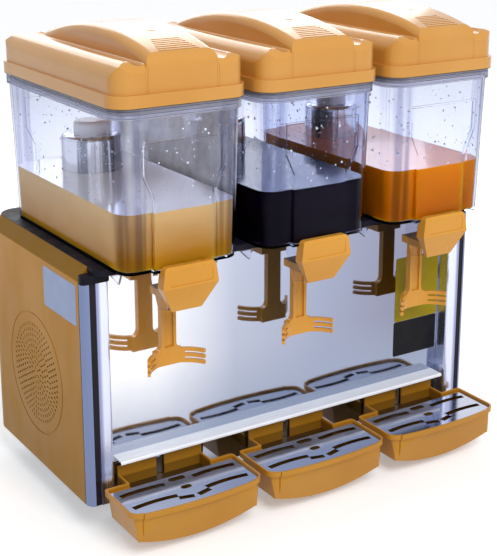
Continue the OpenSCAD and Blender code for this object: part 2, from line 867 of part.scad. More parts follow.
// A quarter bend of pipe in the XZ plane, from straight up to along +X or, mirrored, from along +X to down
module pipe_bend(r) {
    rotate([90, 0, 0]) rotate_extrude(angle = 90) translate([r, 0]) circle(pipe_r);
}

module refrigerant_pipes() {
    bend_r = 16;
    drop_z = condenser_z0 + condenser_h;
    x_end = (condenser_x0 + condenser_x1) / 2;
    comp_top = pan_z + sheet_t + compressor_h;
    color(copper) {
        // Suction: a riser behind each stirrer motor into one header, and down to the compressor
        for (i = [0:2]) translate([unit_x(i), riser_y, header_z]) {
            cylinder(r = pipe_r, h = bowl_z - header_z);
            sphere(pipe_r);
        }
        translate([unit_x(0), riser_y, header_z]) rotate([0, 90, 0]) cylinder(r = pipe_r, h = 2 * unit_pitch);
        translate([compressor_x, riser_y, comp_top]) cylinder(r = pipe_r, h = header_z - comp_top);
        // Discharge: up from the compressor, across under the motors, and down into the condenser
        translate([compressor_x, discharge_y, comp_top])
            cylinder(r = pipe_r, h = discharge_z - bend_r - comp_top);
        translate([compressor_x + bend_r, discharge_y, discharge_z - bend_r]) mirror([1, 0, 0]) pipe_bend(bend_r);
        translate([compressor_x + bend_r, discharge_y, discharge_z]) rotate([0, 90, 0])
            cylinder(r = pipe_r, h = x_end - compressor_x - 2 * bend_r);
        translate([x_end - bend_r, discharge_y, discharge_z - bend_r]) pipe_bend(bend_r);
        translate([x_end, discharge_y, drop_z]) cylinder(r = pipe_r, h = discharge_z - bend_r - drop_z);
    }
}

// Controls

module control_box() {
    wall = 2.5;
    y1 = rear_sheet_y;
    y0 = y1 - box_d;
    boss_r = shaft_r + 4;
    color(grey) {
        difference() {
            translate([-box_w / 2, y0, control_z - box_h / 2]) cube([box_w, box_d, box_h]);
            translate([-box_w / 2 + wall, y0 + wall, control_z - box_h / 2 + wall])
                cube([box_w - 2 * wall, box_d, box_h - 2 * wall]);
        }
        // Pivot shafts of the rockers, held between the box's inner walls
        for (x = [power_x, stir_x]) difference() {
            translate([x - rocker_w / 2 - 4, y0 + wall, control_z - 4]) cube([rocker_w + 8, box_d - wall - 4, 8]);
            translate([x - rocker_w / 2 - clearance, y0 + box_d - 16, control_z - 4 - cut])
                cube([rocker_w + 2 * clearance, box_d, 8 + 2 * cut]);
        }
        for (x = [power_x, stir_x]) translate([x - rocker_w / 2 - 1, rocker_pivot_y, control_z])
            rotate([0, 90, 0]) cylinder(r = rocker_pin_r, h = rocker_w + 2);
        // Thermostat body and its shaft, on which the knob sits
        translate([knob_x, y0 + wall, control_z]) rotate([-90, 0, 0]) cylinder(r = boss_r, h = box_d - wall - 6);
        translate([knob_x, y0 + wall, control_z]) rotate([-90, 0, 0])
            cylinder(r = shaft_r, h = box_d - wall + sheet_t + knob_h - 2);
    }
}

rocker_pin_r = 1.5;
rocker_pivot_y = rear_sheet_y - 6;

module rocker(x) {
    face_y = rear_sheet_y + sheet_t + 3;
    depth = 12;
    color(black) difference() {
        intersection() {
            translate([x - rocker_w / 2, face_y - depth, control_z - rocker_h / 2]) cube([rocker_w, depth, rocker_h]);
            translate([x - rocker_w / 2 - cut, rocker_pivot_y, control_z]) rotate([0, 90, 0])
                cylinder(r = face_y - rocker_pivot_y + 1.2, h = rocker_w + 2 * cut);
        }
        translate([x - rocker_w / 2 - cut, rocker_pivot_y, control_z]) rotate([0, 90, 0])
            cylinder(r = rocker_pin_r + running_fit, h = rocker_w + 2 * cut);
    }
}

module power_rocker() {
    rocker(power_x);
}

module stir_rocker() {
    rocker(stir_x);
}

module thermostat_knob() {
    y0 = rear_sheet_y + sheet_t + clearance;
    rib = 3;
    h = knob_h - clearance;
    color(black) translate([knob_x, y0, control_z]) rotate([-90, 0, 0]) difference() {
        union() {
            cylinder(r = knob_r, h = h * 0.6);
            translate([-rib / 2, -knob_r + 1, 0]) cube([rib, 2 * knob_r - 2, h]);
        }
        translate([0, 0, -cut]) cylinder(r = shaft_r + running_fit, h = h - 1.4 + cut);
    }
}

module cord_gland() {
    bore_r = 4;
    neck = 6;
    out = 5;
    color(black) translate([gland_x, rear_sheet_y - neck, gland_z]) rotate([-90, 0, 0]) difference() {
        union() {
            cylinder(r = gland_neck_r, h = neck + sheet_t);
            translate([0, 0, neck + sheet_t]) cylinder(r = gland_r, h = out);
        }
        translate([0, 0, -cut]) cylinder(r = bore_r, h = neck + sheet_t + out + 2 * cut);
    }
}

// Bowl

// The bowl's plan at the top, made smaller by inset on every side
module bowl_plan(inset) {
    round_rect(bowl_w - 2 * inset, bowl_d - 2 * inset, bowl_r - inset);
}

// The bowl's tapering body between two heights, made smaller by inset on every side
module bowl_body(z0, z1, inset) {
    slice = 0.01;
    hull() {
        translate([0, bowl_mid_y, z0]) linear_extrude(slice) bowl_plan(bowl_draft + inset);
        translate([0, bowl_mid_y, z1 - slice]) linear_extrude(slice) bowl_plan(inset);
    }
}

// Bottle-shaped outline of the panels that stand out of the bowl's front and back
module step_outline(inset) {
    z0 = bowl_z + inset;
    z1 = bowl_top - step_top_gap - inset;
    low = step_w_low / 2 - inset;
    top = step_w_top / 2 - inset;
    polygon([
        [-low, z0],
        [low, z0],
        [low, bowl_z + step_neck_z],
        [top, bowl_z + step_neck_z + step_neck_h],
        [top, z1],
        [-top, z1],
        [-top, bowl_z + step_neck_z + step_neck_h],
        [-low, bowl_z + step_neck_z]
    ]);
}

// Both stepped panels, reaching from the bowl's front face to its back face
module step_panels(inset) {
    depth = bowl_d - bowl_draft + 2 * (step_out - inset);
    upright(bowl_mid_y - depth / 2, depth) step_outline(inset);
}

// Side view of a cheek of the tap housing, which the tap cover reaches round
module cheek_outline() {
    front = panel_y - cover_y + 8;
    back = panel_y - deck_overhang - 2;
    low_front = cover_back + 0.7;
    polygon([
        [front, bowl_z + cut],
        [front, bowl_z - cover_crease - 6],
        [low_front, pivot_z - 1],
        [low_front, bowl_z - cover_drop + 2],
        [spout_at + 6, bowl_z - cover_drop - 4],
        [back, bowl_z - 22],
        [back, bowl_z + cut]
    ]);
}

module bowl(i) {
    x = unit_x(i);
    floor_z = bowl_z + bowl_t;
    hole_r = evap_foot_r + clearance + gasket_w + clearance;
    spout_r = spout_bore_r + spout_t;
    color(clear) translate([x, 0, 0]) difference() {
        union() {
            bowl_body(bowl_z, bowl_top, 0);
            step_panels(0);
            translate([0, bowl_mid_y, bowl_top - flange_h]) linear_extrude(flange_h)
                round_rect(flange_w, flange_d, bowl_r + flange_out);
            translate([0, spout_at, bowl_z - spout_l]) cylinder(r = spout_r, h = spout_l + cut);
            for (s = [0, 1]) mirror([s, 0, 0]) sideways(cheek_gap / 2, cheek_t) cheek_outline();
        }
        // Inside of the bowl
        bowl_body(floor_z, bowl_top + cut, bowl_t);
        intersection() {
            step_panels(bowl_t);
            translate([-bowl_w / 2, bowl_y0 - bowl_d / 2, floor_z]) cube([bowl_w, 2 * bowl_d, bowl_h]);
        }
        // Two fine grooves round the flange
        for (k = [1, 2]) translate([0, bowl_mid_y, bowl_top - k * flange_h / 3 - 0.6]) linear_extrude(1.2) difference() {
            round_rect(flange_w + 2 * cut, flange_d + 2 * cut, bowl_r + flange_out + cut);
            round_rect(flange_w - 2, flange_d - 2, bowl_r + flange_out - 1);
        }
        // Seat round the evaporator's gasket, the spout's bore and the pivot holes
        translate([0, panel_y + evap_y, bowl_z - cut]) cylinder(r = hole_r, h = bowl_t + 2 * cut);
        translate([0, spout_at, bowl_z - spout_l - cut]) cylinder(r = spout_bore_r, h = spout_l + bowl_t + 2 * cut);
        translate([-cheek_gap, pivot_at, pivot_z]) rotate([0, 90, 0])
            cylinder(r = pivot_r + running_fit, h = 2 * cheek_gap);
    }
}

module bowl_gasket(i) {
    r0 = evap_foot_r + clearance;
    color(black) translate([unit_x(i), panel_y + evap_y, bowl_z]) difference() {
        cylinder(r = r0 + gasket_w, h = gasket_h);
        translate([0, 0, -cut]) cylinder(r = r0, h = gasket_h + 2 * cut);
    }
}

// Lid

lid_w = flange_w + 2 * lid_over;
lid_d = flange_d + 2 * lid_over;
lid_y0 = bowl_mid_y - lid_d / 2;
body_w = lid_w - 2 * lid_inset;
body_d = lid_d - 2 * lid_inset;
body_y0 = bowl_mid_y - body_d / 2;
lid_rim_top = bowl_top + lid_rim_h;
shoulder_z = lid_rim_top + lid_shoulder_h;
hump_z = shoulder_z + hump_h;

// Front view of the shoulders, from the bowl's top up to the scoops beside the hump
module shoulder_outline(inset) {
    half = body_w / 2 - inset;
    top = shoulder_z - inset;
    r = lid_shoulder_r - inset;
    z0 = bowl_top - cut;
    scoop_x = hump_w / 2 + scoop_r * 0.55;
    difference() {
        union() {
            translate([-half, z0]) square([2 * half, top - r - z0]);
            translate([-half + r, z0]) square([2 * (half - r), top - z0]);
            for (s = [-1, 1]) translate([s * (half - r), top - r]) circle(r);
        }
        for (s = [-1, 1]) translate([s * scoop_x, top + scoop_r - scoop_depth + inset]) circle(scoop_r + inset);
    }
}

// Side view of the shoulders: rounded at the front and the back
module shoulder_side(inset) {
    r_front = lid_front_r - inset;
    r_back = lid_back_r - inset;
    y0 = body_y0 + inset;
    y1 = body_y0 + body_d - inset;
    top = shoulder_z - inset;
    z0 = bowl_top - cut;
    translate([y0, z0]) square([y1 - y0, top - r_back - z0]);
    translate([y0, z0]) square([y1 - y0 - r_back, top - r_front - z0]);
    translate([y0 + r_front, z0]) square([y1 - y0 - r_front - r_back, top - z0]);
    translate([y0 + r_front, top - r_front]) circle(r_front);
    translate([y1 - r_back, top - r_back]) circle(r_back);
}

// Height of the hump's crown at a depth y
function crown_z(y, inset) =
    hump_z - hump_r + sqrt(pow(hump_r - inset, 2) - pow(y - body_y0 - hump_peak, 2));

// The hump's crown: a bar with two rounded top edges, bent to an arc over the lid
module hump_bar(inset) {
    half = hump_w / 2 - inset;
    r = hump_r - inset;
    edge = hump_edge_r - inset;
    depth = hump_h + lid_shoulder_h;
    spare = 2;
    front_angle = asin(hump_peak / hump_r) + spare;
    back_angle = asin((body_d - hump_peak) / hump_r) + spare;
    translate([0, body_y0 + hump_peak, hump_z - hump_r]) rotate([0, 90, 0]) rotate(180 - back_angle)
        rotate_extrude(angle = front_angle + back_angle) {
            translate([r - depth, -half]) square([depth - edge, 2 * half]);
            translate([r - depth, -half + edge]) square([depth, 2 * (half - edge)]);
            for (s = [-1, 1]) translate([r - edge, s * (half - edge)]) circle(edge);
        }
}

// Side view of the hump's limits: upright at the front with a rounded top edge that runs into the crown,
// and an end behind, where the crown has sunk into the shoulders
module hump_limits(inset) {
    sunk = 2;
    y0 = body_y0 + inset;
    crown_end = body_y0 + hump_peak + sqrt(pow(hump_r, 2) - pow(hump_r - hump_h - sunk, 2));
    y1 = min(crown_end, body_y0 + body_d - lid_back_r / 2) - inset;
    r = hump_front_r - inset;
    z0 = bowl_top - cut;
    crown_y = y0 + 0.6 * r;
    mid_z = crown_z(crown_y, inset) - 0.85 * r;
    translate([y0, z0]) square([r, mid_z - z0]);
    translate([y0 + r, mid_z]) circle(r);
    translate([crown_y, z0]) square([y1 - crown_y, hump_z + cut - z0]);
}

// The lid's outer form, or its hollow when inset is the wall
module lid_form(inset) {
    intersection() {
        translate([0, bowl_mid_y, bowl_top - cut]) linear_extrude(hump_z - bowl_top + 2 * cut)
            round_rect(body_w - 2 * inset, body_d - 2 * inset, lid_r - inset);
        union() {
            intersection() {
                upright(body_y0 - cut, body_d + 2 * cut) shoulder_outline(inset);
                sideways(-body_w / 2 - cut, body_w + 2 * cut) shoulder_side(inset);
            }
            intersection() {
                hump_bar(inset);
                sideways(-hump_w / 2 - cut, hump_w + 2 * cut) hump_limits(inset);
            }
        }
    }
}

module lid(i) {
    lip_gap = 0.8;
    lip_w = bowl_w - 2 * bowl_t - 2 * lip_gap;
    lip_d = bowl_d - 2 * bowl_t - 2 * lip_gap;
    lip_r = bowl_r - bowl_t - lip_gap;
    slot_mark = [12, 3];
    color(amber) translate([unit_x(i), 0, 0]) difference() {
        union() {
            translate([0, bowl_mid_y, bowl_top]) linear_extrude(lid_rim_h) round_rect(lid_w, lid_d, lid_r + lid_inset);
            intersection() {
                lid_form(0);
                translate([-lid_w / 2, lid_y0, bowl_top]) cube([lid_w, lid_d, hump_z]);
            }
            translate([0, bowl_mid_y, bowl_top - lid_lip]) linear_extrude(lid_lip + cut)
                round_rect(lip_w, lip_d, lip_r);
        }
        // Hollow under the lid, and the way into it through the lip
        intersection() {
            lid_form(lid_t);
            translate([-lid_w / 2, lid_y0, bowl_top + lid_t]) cube([lid_w, lid_d, hump_z]);
        }
        translate([0, bowl_mid_y, bowl_top - lid_lip - cut]) linear_extrude(lid_lip + lid_t + 2 * cut)
            round_rect(lip_w - 2 * lid_t, lip_d - 2 * lid_t, lip_r - lid_t);
        // Grille near the front and two small slots along the crown
        for (k = [0:grille_rows - 1])
            translate([0, lid_y0 + grille_y + (k - (grille_rows - 1) / 2) * grille_pitch, shoulder_z - 12])
                linear_extrude(hump_h + 14) square([grille_w - grille_taper * k, grille_slot], center = true);
        for (y = [hump_peak - 58, hump_peak + 86]) translate([0, lid_y0 + y, shoulder_z - 12])
            linear_extrude(hump_h + 14) square(slot_mark, center = true);
        // Creases where the hump's front meets the shoulders
        for (s = [-1, 1]) translate([s * hump_w / 2, body_y0 + crease_d - crease_r, bowl_top + lid_rim_h])
            cylinder(r = crease_r, h = hump_z);
    }
}

// Evaporator, agitator and its motor

// Half section of a cylinder with a rounded top edge
module rounded_end(r, h, edge) {
    square([r, h - edge]);
    square([r - edge, h]);
    intersection() {
        translate([r - edge, h - edge]) circle(edge);
        square([r, h]);
    }
}

// Half section of the evaporator: foot, cylinder and a raised disc
module evaporator_section() {
    edge = 6;
    top = evap_h - evap_disc_h;
    square([evap_foot_r, evap_foot_t]);
    rounded_end(evap_r, top, edge);
    rounded_end(evap_disc_r, evap_h, edge);
}

module evaporator(i) {
    wall = 2.5;
    head = 5;
    color(steel) translate([unit_x(i), panel_y + evap_y, bowl_z]) difference() {
        rotate_extrude() evaporator_section();
        // The coil space, open to the cabinet through the foot
        translate([0, 0, -cut]) cylinder(r = evap_r - wall, h = evap_h - evap_disc_h - head + cut);
    }
}

module agitator(i) {
    ring_t = 7;
    bore = evap_r + clearance;
    tip = evap_foot_r - 1;
    color(white) translate([unit_x(i), panel_y + evap_y, bowl_z + evap_foot_t + clearance]) difference() {
        union() {
            cylinder(r = bore + ring_t, h = agitator_h * 0.6);
            for (k = [0:agitator_vanes - 1]) rotate(k * 360 / agitator_vanes) rotate(25)
                translate([bore + 2, -1.5, 0]) cube([tip - bore - 4, 3, agitator_h]);
        }
        translate([0, 0, -cut]) cylinder(r = bore, h = agitator_h + 2 * cut);
    }
}

module stirrer_motor(i) {
    flange_t = 3;
    flange_r = motor_r + 8;
    color(grey) translate([unit_x(i), panel_y + evap_y, deck_z]) {
        translate([0, 0, -flange_t]) cylinder(r = flange_r, h = flange_t);
        translate([0, 0, -motor_h]) cylinder(r = motor_r, h = motor_h);
        cylinder(r = 8, h = deck_t - clearance);
    }
}

// Tap

// Front view of the tap cover, made smaller by inset
module cover_front(inset) {
    top = bowl_z + cover_rise - inset;
    mid = bowl_z - cover_crease;
    low = bowl_z - cover_drop + inset;
    a = cover_w_top / 2 - inset;
    b = cover_w_mid / 2 - inset;
    c = cover_w_low / 2 - inset;
    r = cover_r - inset / 2;
    corner = [for (t = [0:15:90]) [a - r + r * sin(t), top - r + r * cos(t)]];
    polygon(concat(
        [for (k = [len(corner) - 1:-1:0]) [-corner[k].x, corner[k].y]],
        corner,
        [[b, mid], [c, low], [-c, low], [-b, mid]]
    ));
}

// Side view of the tap cover, made thinner by inset at its front
module cover_side(inset) {
    top = bowl_z + cover_rise + cut;
    mid = bowl_z - cover_crease;
    low = bowl_z - cover_drop;
    // The back stops short of the bowl above, and reaches under it below
    back_up = step_front - clearance + inset;
    back = cover_back + inset;
    ledge = bowl_z - clearance + inset;
    front = panel_y - cover_y + inset;
    polygon([
        [back_up, top],
        [front + 4, top],
        [front + 1, top - 5],
        [front, mid],
        [front + cover_lean, low],
        [front + cover_lean, low - cut],
        [back, low - cut],
        [back, ledge],
        [back_up, ledge]
    ]);
}

module tap_cover(i) {
    pad_depth = 1.2;
    pad_edge = 5;
    mid = bowl_z - cover_crease;
    front = panel_y - cover_y;
    pad_z0 = mid + pad_edge - 2;
    pad_h = bowl_z + cover_rise - pad_edge - pad_z0;
    color(amber) translate([unit_x(i), 0, 0]) difference() {
        intersection() {
            upright(front - cut, 30) cover_front(0);
            sideways(-cover_w_mid, 2 * cover_w_mid) cover_side(0);
        }
        intersection() {
            upright(front - cut, 40) cover_front(cover_t);
            sideways(-cover_w_mid, 2 * cover_w_mid) cover_side(cover_t);
        }
        // Sunk field inside the raised border of the upper half
        translate([0, 0, pad_z0 + pad_h / 2]) upright(front - cut, pad_depth + cut)
            round_rect(cover_w_top - 2 * pad_edge, pad_h, 4);
    }
}

// Front view of the lever's stem, flared into the paddle by two fillets
module stem_outline() {
    z0 = pan_z + paddle_z;
    z1 = z0 + paddle_h;
    flare = 9;
    difference() {
        union() {
            translate([-stem_w / 2, z0]) square([stem_w, bridge_top - z0]);
            translate([-stem_w / 2 - flare, z0]) square([stem_w + 2 * flare, paddle_h + flare]);
        }
        for (s = [-1, 1]) translate([s * (stem_w / 2 + flare), z1 + flare]) circle(flare);
    }
}

module tap_lever(i) {
    paddle_y = stem_at - paddle_r;
    channel = stem_w - 8;
    gap = (paddle_h - 2 * finger_slot) / 3;
    bridge_front = spring_at - spring_r - 1.5;
    color(amber) translate([unit_x(i), 0, 0]) difference() {
        union() {
            // Arms beside the spout, and the bridge behind it that carries the spring
            for (s = [-1, 1]) {
                translate([s > 0 ? arm_x - arm_t : -arm_x, pivot_at, pivot_z - arm_h / 2])
                    cube([arm_t, stem_at + stem_t / 2 - pivot_at, arm_h]);
                translate([s > 0 ? arm_x - arm_t : -arm_x, pivot_at, pivot_z]) rotate([0, 90, 0])
                    cylinder(d = arm_h, h = arm_t);
                // Pivot pin in the cheek, and the lug that lifts the valve
                translate([s > 0 ? arm_x - cut : -arm_x - cheek_t - 1 + clearance, pivot_at, pivot_z])
                    rotate([0, 90, 0]) cylinder(r = pivot_r, h = cheek_t + 1 + cut - clearance);
                translate([s > 0 ? 6 : -arm_x + cut, spout_at, pivot_z])
                    rotate([0, 90, 0]) cylinder(r = lug_r, h = arm_x - 6 - cut);
            }
            translate([-arm_x, bridge_front, pivot_z - arm_h / 2])
                cube([2 * arm_x, stem_at + stem_t / 2 - bridge_front, arm_h]);
            intersection() {
                upright(stem_at - stem_t / 2, stem_t) stem_outline();
                translate([-arm_x, stem_at - stem_t / 2, pan_z]) cube([2 * arm_x, stem_t, deck_z]);
            }
            translate([0, paddle_y, pan_z + paddle_z]) linear_extrude(paddle_h)
                ring_slice(paddle_r, paddle_t, paddle_angle);
        }
        // Channel down the front of the stem
        translate([-channel / 2, stem_at - stem_t / 2 - cut, pan_z + paddle_z + paddle_h + 4])
            cube([channel, 3 + cut, pivot_z - arm_h - pan_z - paddle_z - paddle_h - 8]);
        // Slots between the fingers
        for (s = [-1, 1], k = [1, 2])
            translate([0, paddle_y, pan_z + paddle_z + k * gap + (k - 1) * finger_slot])
                rotate(-s * (paddle_angle - finger_angle) / 2) linear_extrude(finger_slot)
                    ring_slice(paddle_r, paddle_t * 3, finger_angle * 1.02);
    }
}

module tap_valve(i) {
    head_r = spout_bore_r + 3;
    head_t = 4;
    rod_r = 3.5;
    collar_r = spout_bore_r - 1;
    collar_t = 3;
    seat_z = bowl_z + bowl_t + clearance;
    collar_z = pivot_z + lug_r + clearance;
    fin_t = 2;
    fin_z = bowl_z - spout_l + 8;
    color(white) translate([unit_x(i), spout_at, 0]) {
        translate([0, 0, collar_z]) cylinder(r = collar_r, h = collar_t);
        translate([0, 0, collar_z]) cylinder(r = rod_r, h = seat_z - collar_z);
        translate([0, 0, seat_z]) cylinder(r = head_r, h = head_t);
        intersection() {
            translate([0, 0, fin_z]) cylinder(r = spout_bore_r - running_fit, h = bowl_z - fin_z);
            for (k = [0:2]) rotate(k * 120) translate([0, -fin_t / 2, fin_z])
                cube([spout_bore_r, fin_t, bowl_z - fin_z]);
        }
    }
}

// Points round one ring of the spring's wire, at a turn angle
function wire_ring(turn, sides) = [for (k = [0:sides - 1])
    let (a = k * 360 / sides, r = spring_r - spring_wire + spring_wire * cos(a))
    [r * cos(turn), r * sin(turn), spring_wire * sin(a)]];

module tap_spring(i) {
    sides = 6;
    steps = spring_turns * 10;
    z0 = bridge_top + clearance + spring_wire;
    z1 = bowl_z - clearance - spring_wire;
    points = [for (k = [0:steps]) for (p = wire_ring(k * 36, sides)) p + [0, 0, z0 + (z1 - z0) * k / steps]];
    last = steps * sides;
    faces = concat(
        [for (k = [0:steps - 1]) for (j = [0:sides - 1]) let (a = k * sides + j, b = k * sides + (j + 1) % sides)
            each [[a, b, b + sides], [a, b + sides, a + sides]]],
        [for (j = [1:sides - 2]) [0, j + 1, j]],
        [for (j = [1:sides - 2]) [last, last + j, last + j + 1]]
    );
    color(steel) translate([unit_x(i), spring_at, 0]) polyhedron(points, faces);
}

// Drip tray and grid

// The tray's plan: bowed front, square back, made smaller by inset
module tray_plan(inset) {
    half = tray_w / 2 - inset;
    y0 = tray_front + inset;
    y1 = tub_back - inset;
    r = tray_r - inset;
    bow_r = (half * half + tray_bow * tray_bow) / (2 * tray_bow);
    corner_r = 5;
    intersection() {
        translate([0, y0 + bow_r]) circle(bow_r, $fn = 240);
        union() {
            translate([-half + r, y0]) square([2 * (half - r), y1 - y0]);
            translate([-half, y0 + r + tray_bow]) square([2 * half, y1 - y0 - r - tray_bow - corner_r]);
            translate([-half + corner_r, y1 - 2 * corner_r]) square([2 * (half - corner_r), 2 * corner_r]);
            for (s = [-1, 1]) {
                translate([s * (half - r), y0 + r + tray_bow]) circle(r);
                translate([s * (half - corner_r), y1 - corner_r]) circle(corner_r);
            }
        }
    }
}

// Front view of the tub: sloping sides and a round bottom
module tub_front(inset) {
    half = tray_w / 2 - inset;
    low_half = half - tray_draft;
    top = rim_z + cut;
    bottom = rim_z - tray_depth + inset;
    side_z = bottom + tray_belly;
    belly_r = (low_half * low_half + tray_belly * tray_belly) / (2 * tray_belly);
    intersection() {
        polygon([[-half, top], [half, top], [low_half, bottom - cut], [-low_half, bottom - cut]]);
        union() {
            translate([0, bottom + belly_r]) circle(belly_r, $fn = 240);
            translate([-half, side_z]) square([2 * half, top - side_z]);
        }
    }
}

// Side view of the tub: the front wall slopes in towards the bottom
module tub_side(inset) {
    slope = 14;
    top = rim_z + cut;
    bottom = rim_z - tray_depth - cut;
    y0 = tray_front + inset;
    polygon([[y0, top], [tub_back + cut, top], [tub_back + cut, bottom], [y0 + slope, bottom]]);
}

module tub(inset) {
    intersection() {
        translate([0, 0, rim_z - tray_depth - cut]) linear_extrude(tray_depth + 2 * cut) tray_plan(inset);
        upright(tray_front - cut, tray_d + 2 * cut) tub_front(inset);
        sideways(-tray_w / 2 - cut, tray_w + 2 * cut) tub_side(inset);
    }
}

module drip_tray(i) {
    tongue_back = panel_y - clearance - bracket_t - clearance - 1;
    tongue_top = rim_z + tongue_rise;
    tongue_front = tub_back - tray_band_out - tray_t;
    color(amber) translate([unit_x(i), 0, 0]) difference() {
        union() {
            intersection() {
                tub(tray_band_out);
                translate([-tray_w, tray_front - cut, 0]) cube([2 * tray_w, tray_d + 2 * cut, rim_z]);
            }
            translate([0, 0, rim_z - tray_band]) linear_extrude(tray_band) tray_plan(0);
            translate([-tongue_w / 2, tongue_front, tongue_floor])
                cube([tongue_w, tongue_back - tongue_front, tongue_top - tongue_floor]);
        }
        // Inside of the tub, the step that carries the grid, and the inside of the tongue
        intersection() {
            tub(tray_band_out + tray_t);
            translate([-tray_w, tray_front, 0]) cube([2 * tray_w, tray_d, rim_z + cut]);
        }
        translate([0, 0, grid_z - grid_t]) linear_extrude(tray_depth) tray_plan(tray_t);
        translate([-tongue_w / 2 + tray_t, tongue_front - cut, tongue_floor + tray_t])
            cube([tongue_w - 2 * tray_t, tongue_back - tongue_front - tray_t + cut, tray_depth]);
        // The tongue's side walls step down to the rim, and its back wall is notched for the bracket's tab
        translate([-tongue_w, tongue_front - cut, rim_z])
            cube([2 * tongue_w, tongue_back - tongue_front - tray_t + cut, tray_depth]);
        translate([-tongue_notch / 2, tub_back, tongue_floor + tray_t]) cube([tongue_notch, tray_back, tray_depth]);
    }
}

// Openings of the grid, drawn flat round the unit's middle line
module grid_openings(y_back) {
    long = 62;
    bend_r = 190;
    half_angle = asin(long / 2 / bend_r);
    for (s = [-1, 1], row = [0, 1])
        translate([s * 52, y_back - 12 - row * 34 - bend_r]) ring_slice(bend_r, grid_slot, 2 * half_angle);
    translate([0, y_back - 9]) slot(24, 9);
    translate([0, y_back - 34]) slot(15, 9);
    for (s = [0, 1]) mirror([s, 0]) translate([3, y_back - 60]) rotate(14) translate([0, -grid_slot / 2])
        square([20, grid_slot]);
}

module drip_grid(i) {
    fit = 0.5;
    y_back = tub_back - 9;
    color(steel) translate([unit_x(i), 0, grid_z - grid_t]) linear_extrude(grid_t) difference() {
        intersection() {
            tray_plan(tray_t + fit);
            translate([-tray_w, tray_front]) square([2 * tray_w, y_back - tray_front]);
        }
        grid_openings(y_back);
    }
}

base_pan();
rubber_feet();
left_side_panel();
right_side_panel();
front_panel();
drip_ledge();
left_post();
right_post();
post_caps();
rear_panel();
deck();
tray_brackets();
compressor();
condenser();
fan_shroud();
fan_motor();
fan_blade();
refrigerant_pipes();
control_box();
power_rocker();
stir_rocker();
thermostat_knob();
cord_gland();
for (i = [0:2]) {
    bowl(i);
    bowl_gasket(i);
    lid(i);
    evaporator(i);
    agitator(i);
    stirrer_motor(i);
    tap_cover(i);
    tap_lever(i);
    tap_valve(i);
    tap_spring(i);
    drip_tray(i);
    drip_grid(i);
}
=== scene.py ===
import json
import math

import bmesh
import bpy
from mathutils import Matrix, Vector

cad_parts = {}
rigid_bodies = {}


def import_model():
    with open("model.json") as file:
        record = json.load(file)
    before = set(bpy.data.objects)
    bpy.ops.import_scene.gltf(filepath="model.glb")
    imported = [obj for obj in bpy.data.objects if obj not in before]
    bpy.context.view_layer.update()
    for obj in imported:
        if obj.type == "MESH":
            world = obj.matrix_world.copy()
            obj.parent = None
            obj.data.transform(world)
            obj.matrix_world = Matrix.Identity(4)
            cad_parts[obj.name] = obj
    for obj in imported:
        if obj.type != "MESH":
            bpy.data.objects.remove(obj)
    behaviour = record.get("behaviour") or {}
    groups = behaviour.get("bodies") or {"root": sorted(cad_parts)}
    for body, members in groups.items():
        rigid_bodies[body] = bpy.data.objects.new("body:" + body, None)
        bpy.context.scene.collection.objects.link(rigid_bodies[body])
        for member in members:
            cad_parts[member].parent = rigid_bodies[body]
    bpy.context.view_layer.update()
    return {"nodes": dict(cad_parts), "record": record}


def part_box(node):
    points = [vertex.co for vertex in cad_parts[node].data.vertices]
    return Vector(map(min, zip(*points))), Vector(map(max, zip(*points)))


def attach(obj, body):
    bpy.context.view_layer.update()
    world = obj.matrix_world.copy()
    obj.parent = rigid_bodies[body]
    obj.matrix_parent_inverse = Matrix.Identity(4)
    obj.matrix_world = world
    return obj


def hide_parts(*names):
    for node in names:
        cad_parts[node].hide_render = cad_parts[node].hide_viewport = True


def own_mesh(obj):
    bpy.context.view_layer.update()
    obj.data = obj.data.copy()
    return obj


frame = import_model()
nodes = frame["nodes"]

# Places that several pieces share, in metres

SIDES = {"left": -0.2, "middle": 0.0, "right": 0.2}
HALF_PITCH = 0.1
PANEL_Y = -0.0895
REAR_Y = 0.2015
SIDE_X = 0.31


# Finishes

def shown(r, g, b):
    """The colour that a screen shows as these values from 0 to 255."""
    def one(v):
        v /= 255
        return v / 12.92 if v <= 0.04045 else ((v + 0.055) / 1.055) ** 2.4
    return (one(r), one(g), one(b), 1.0)


def dimmed(colour, share):
    return tuple(c * share for c in colour[:3]) + (1.0,)


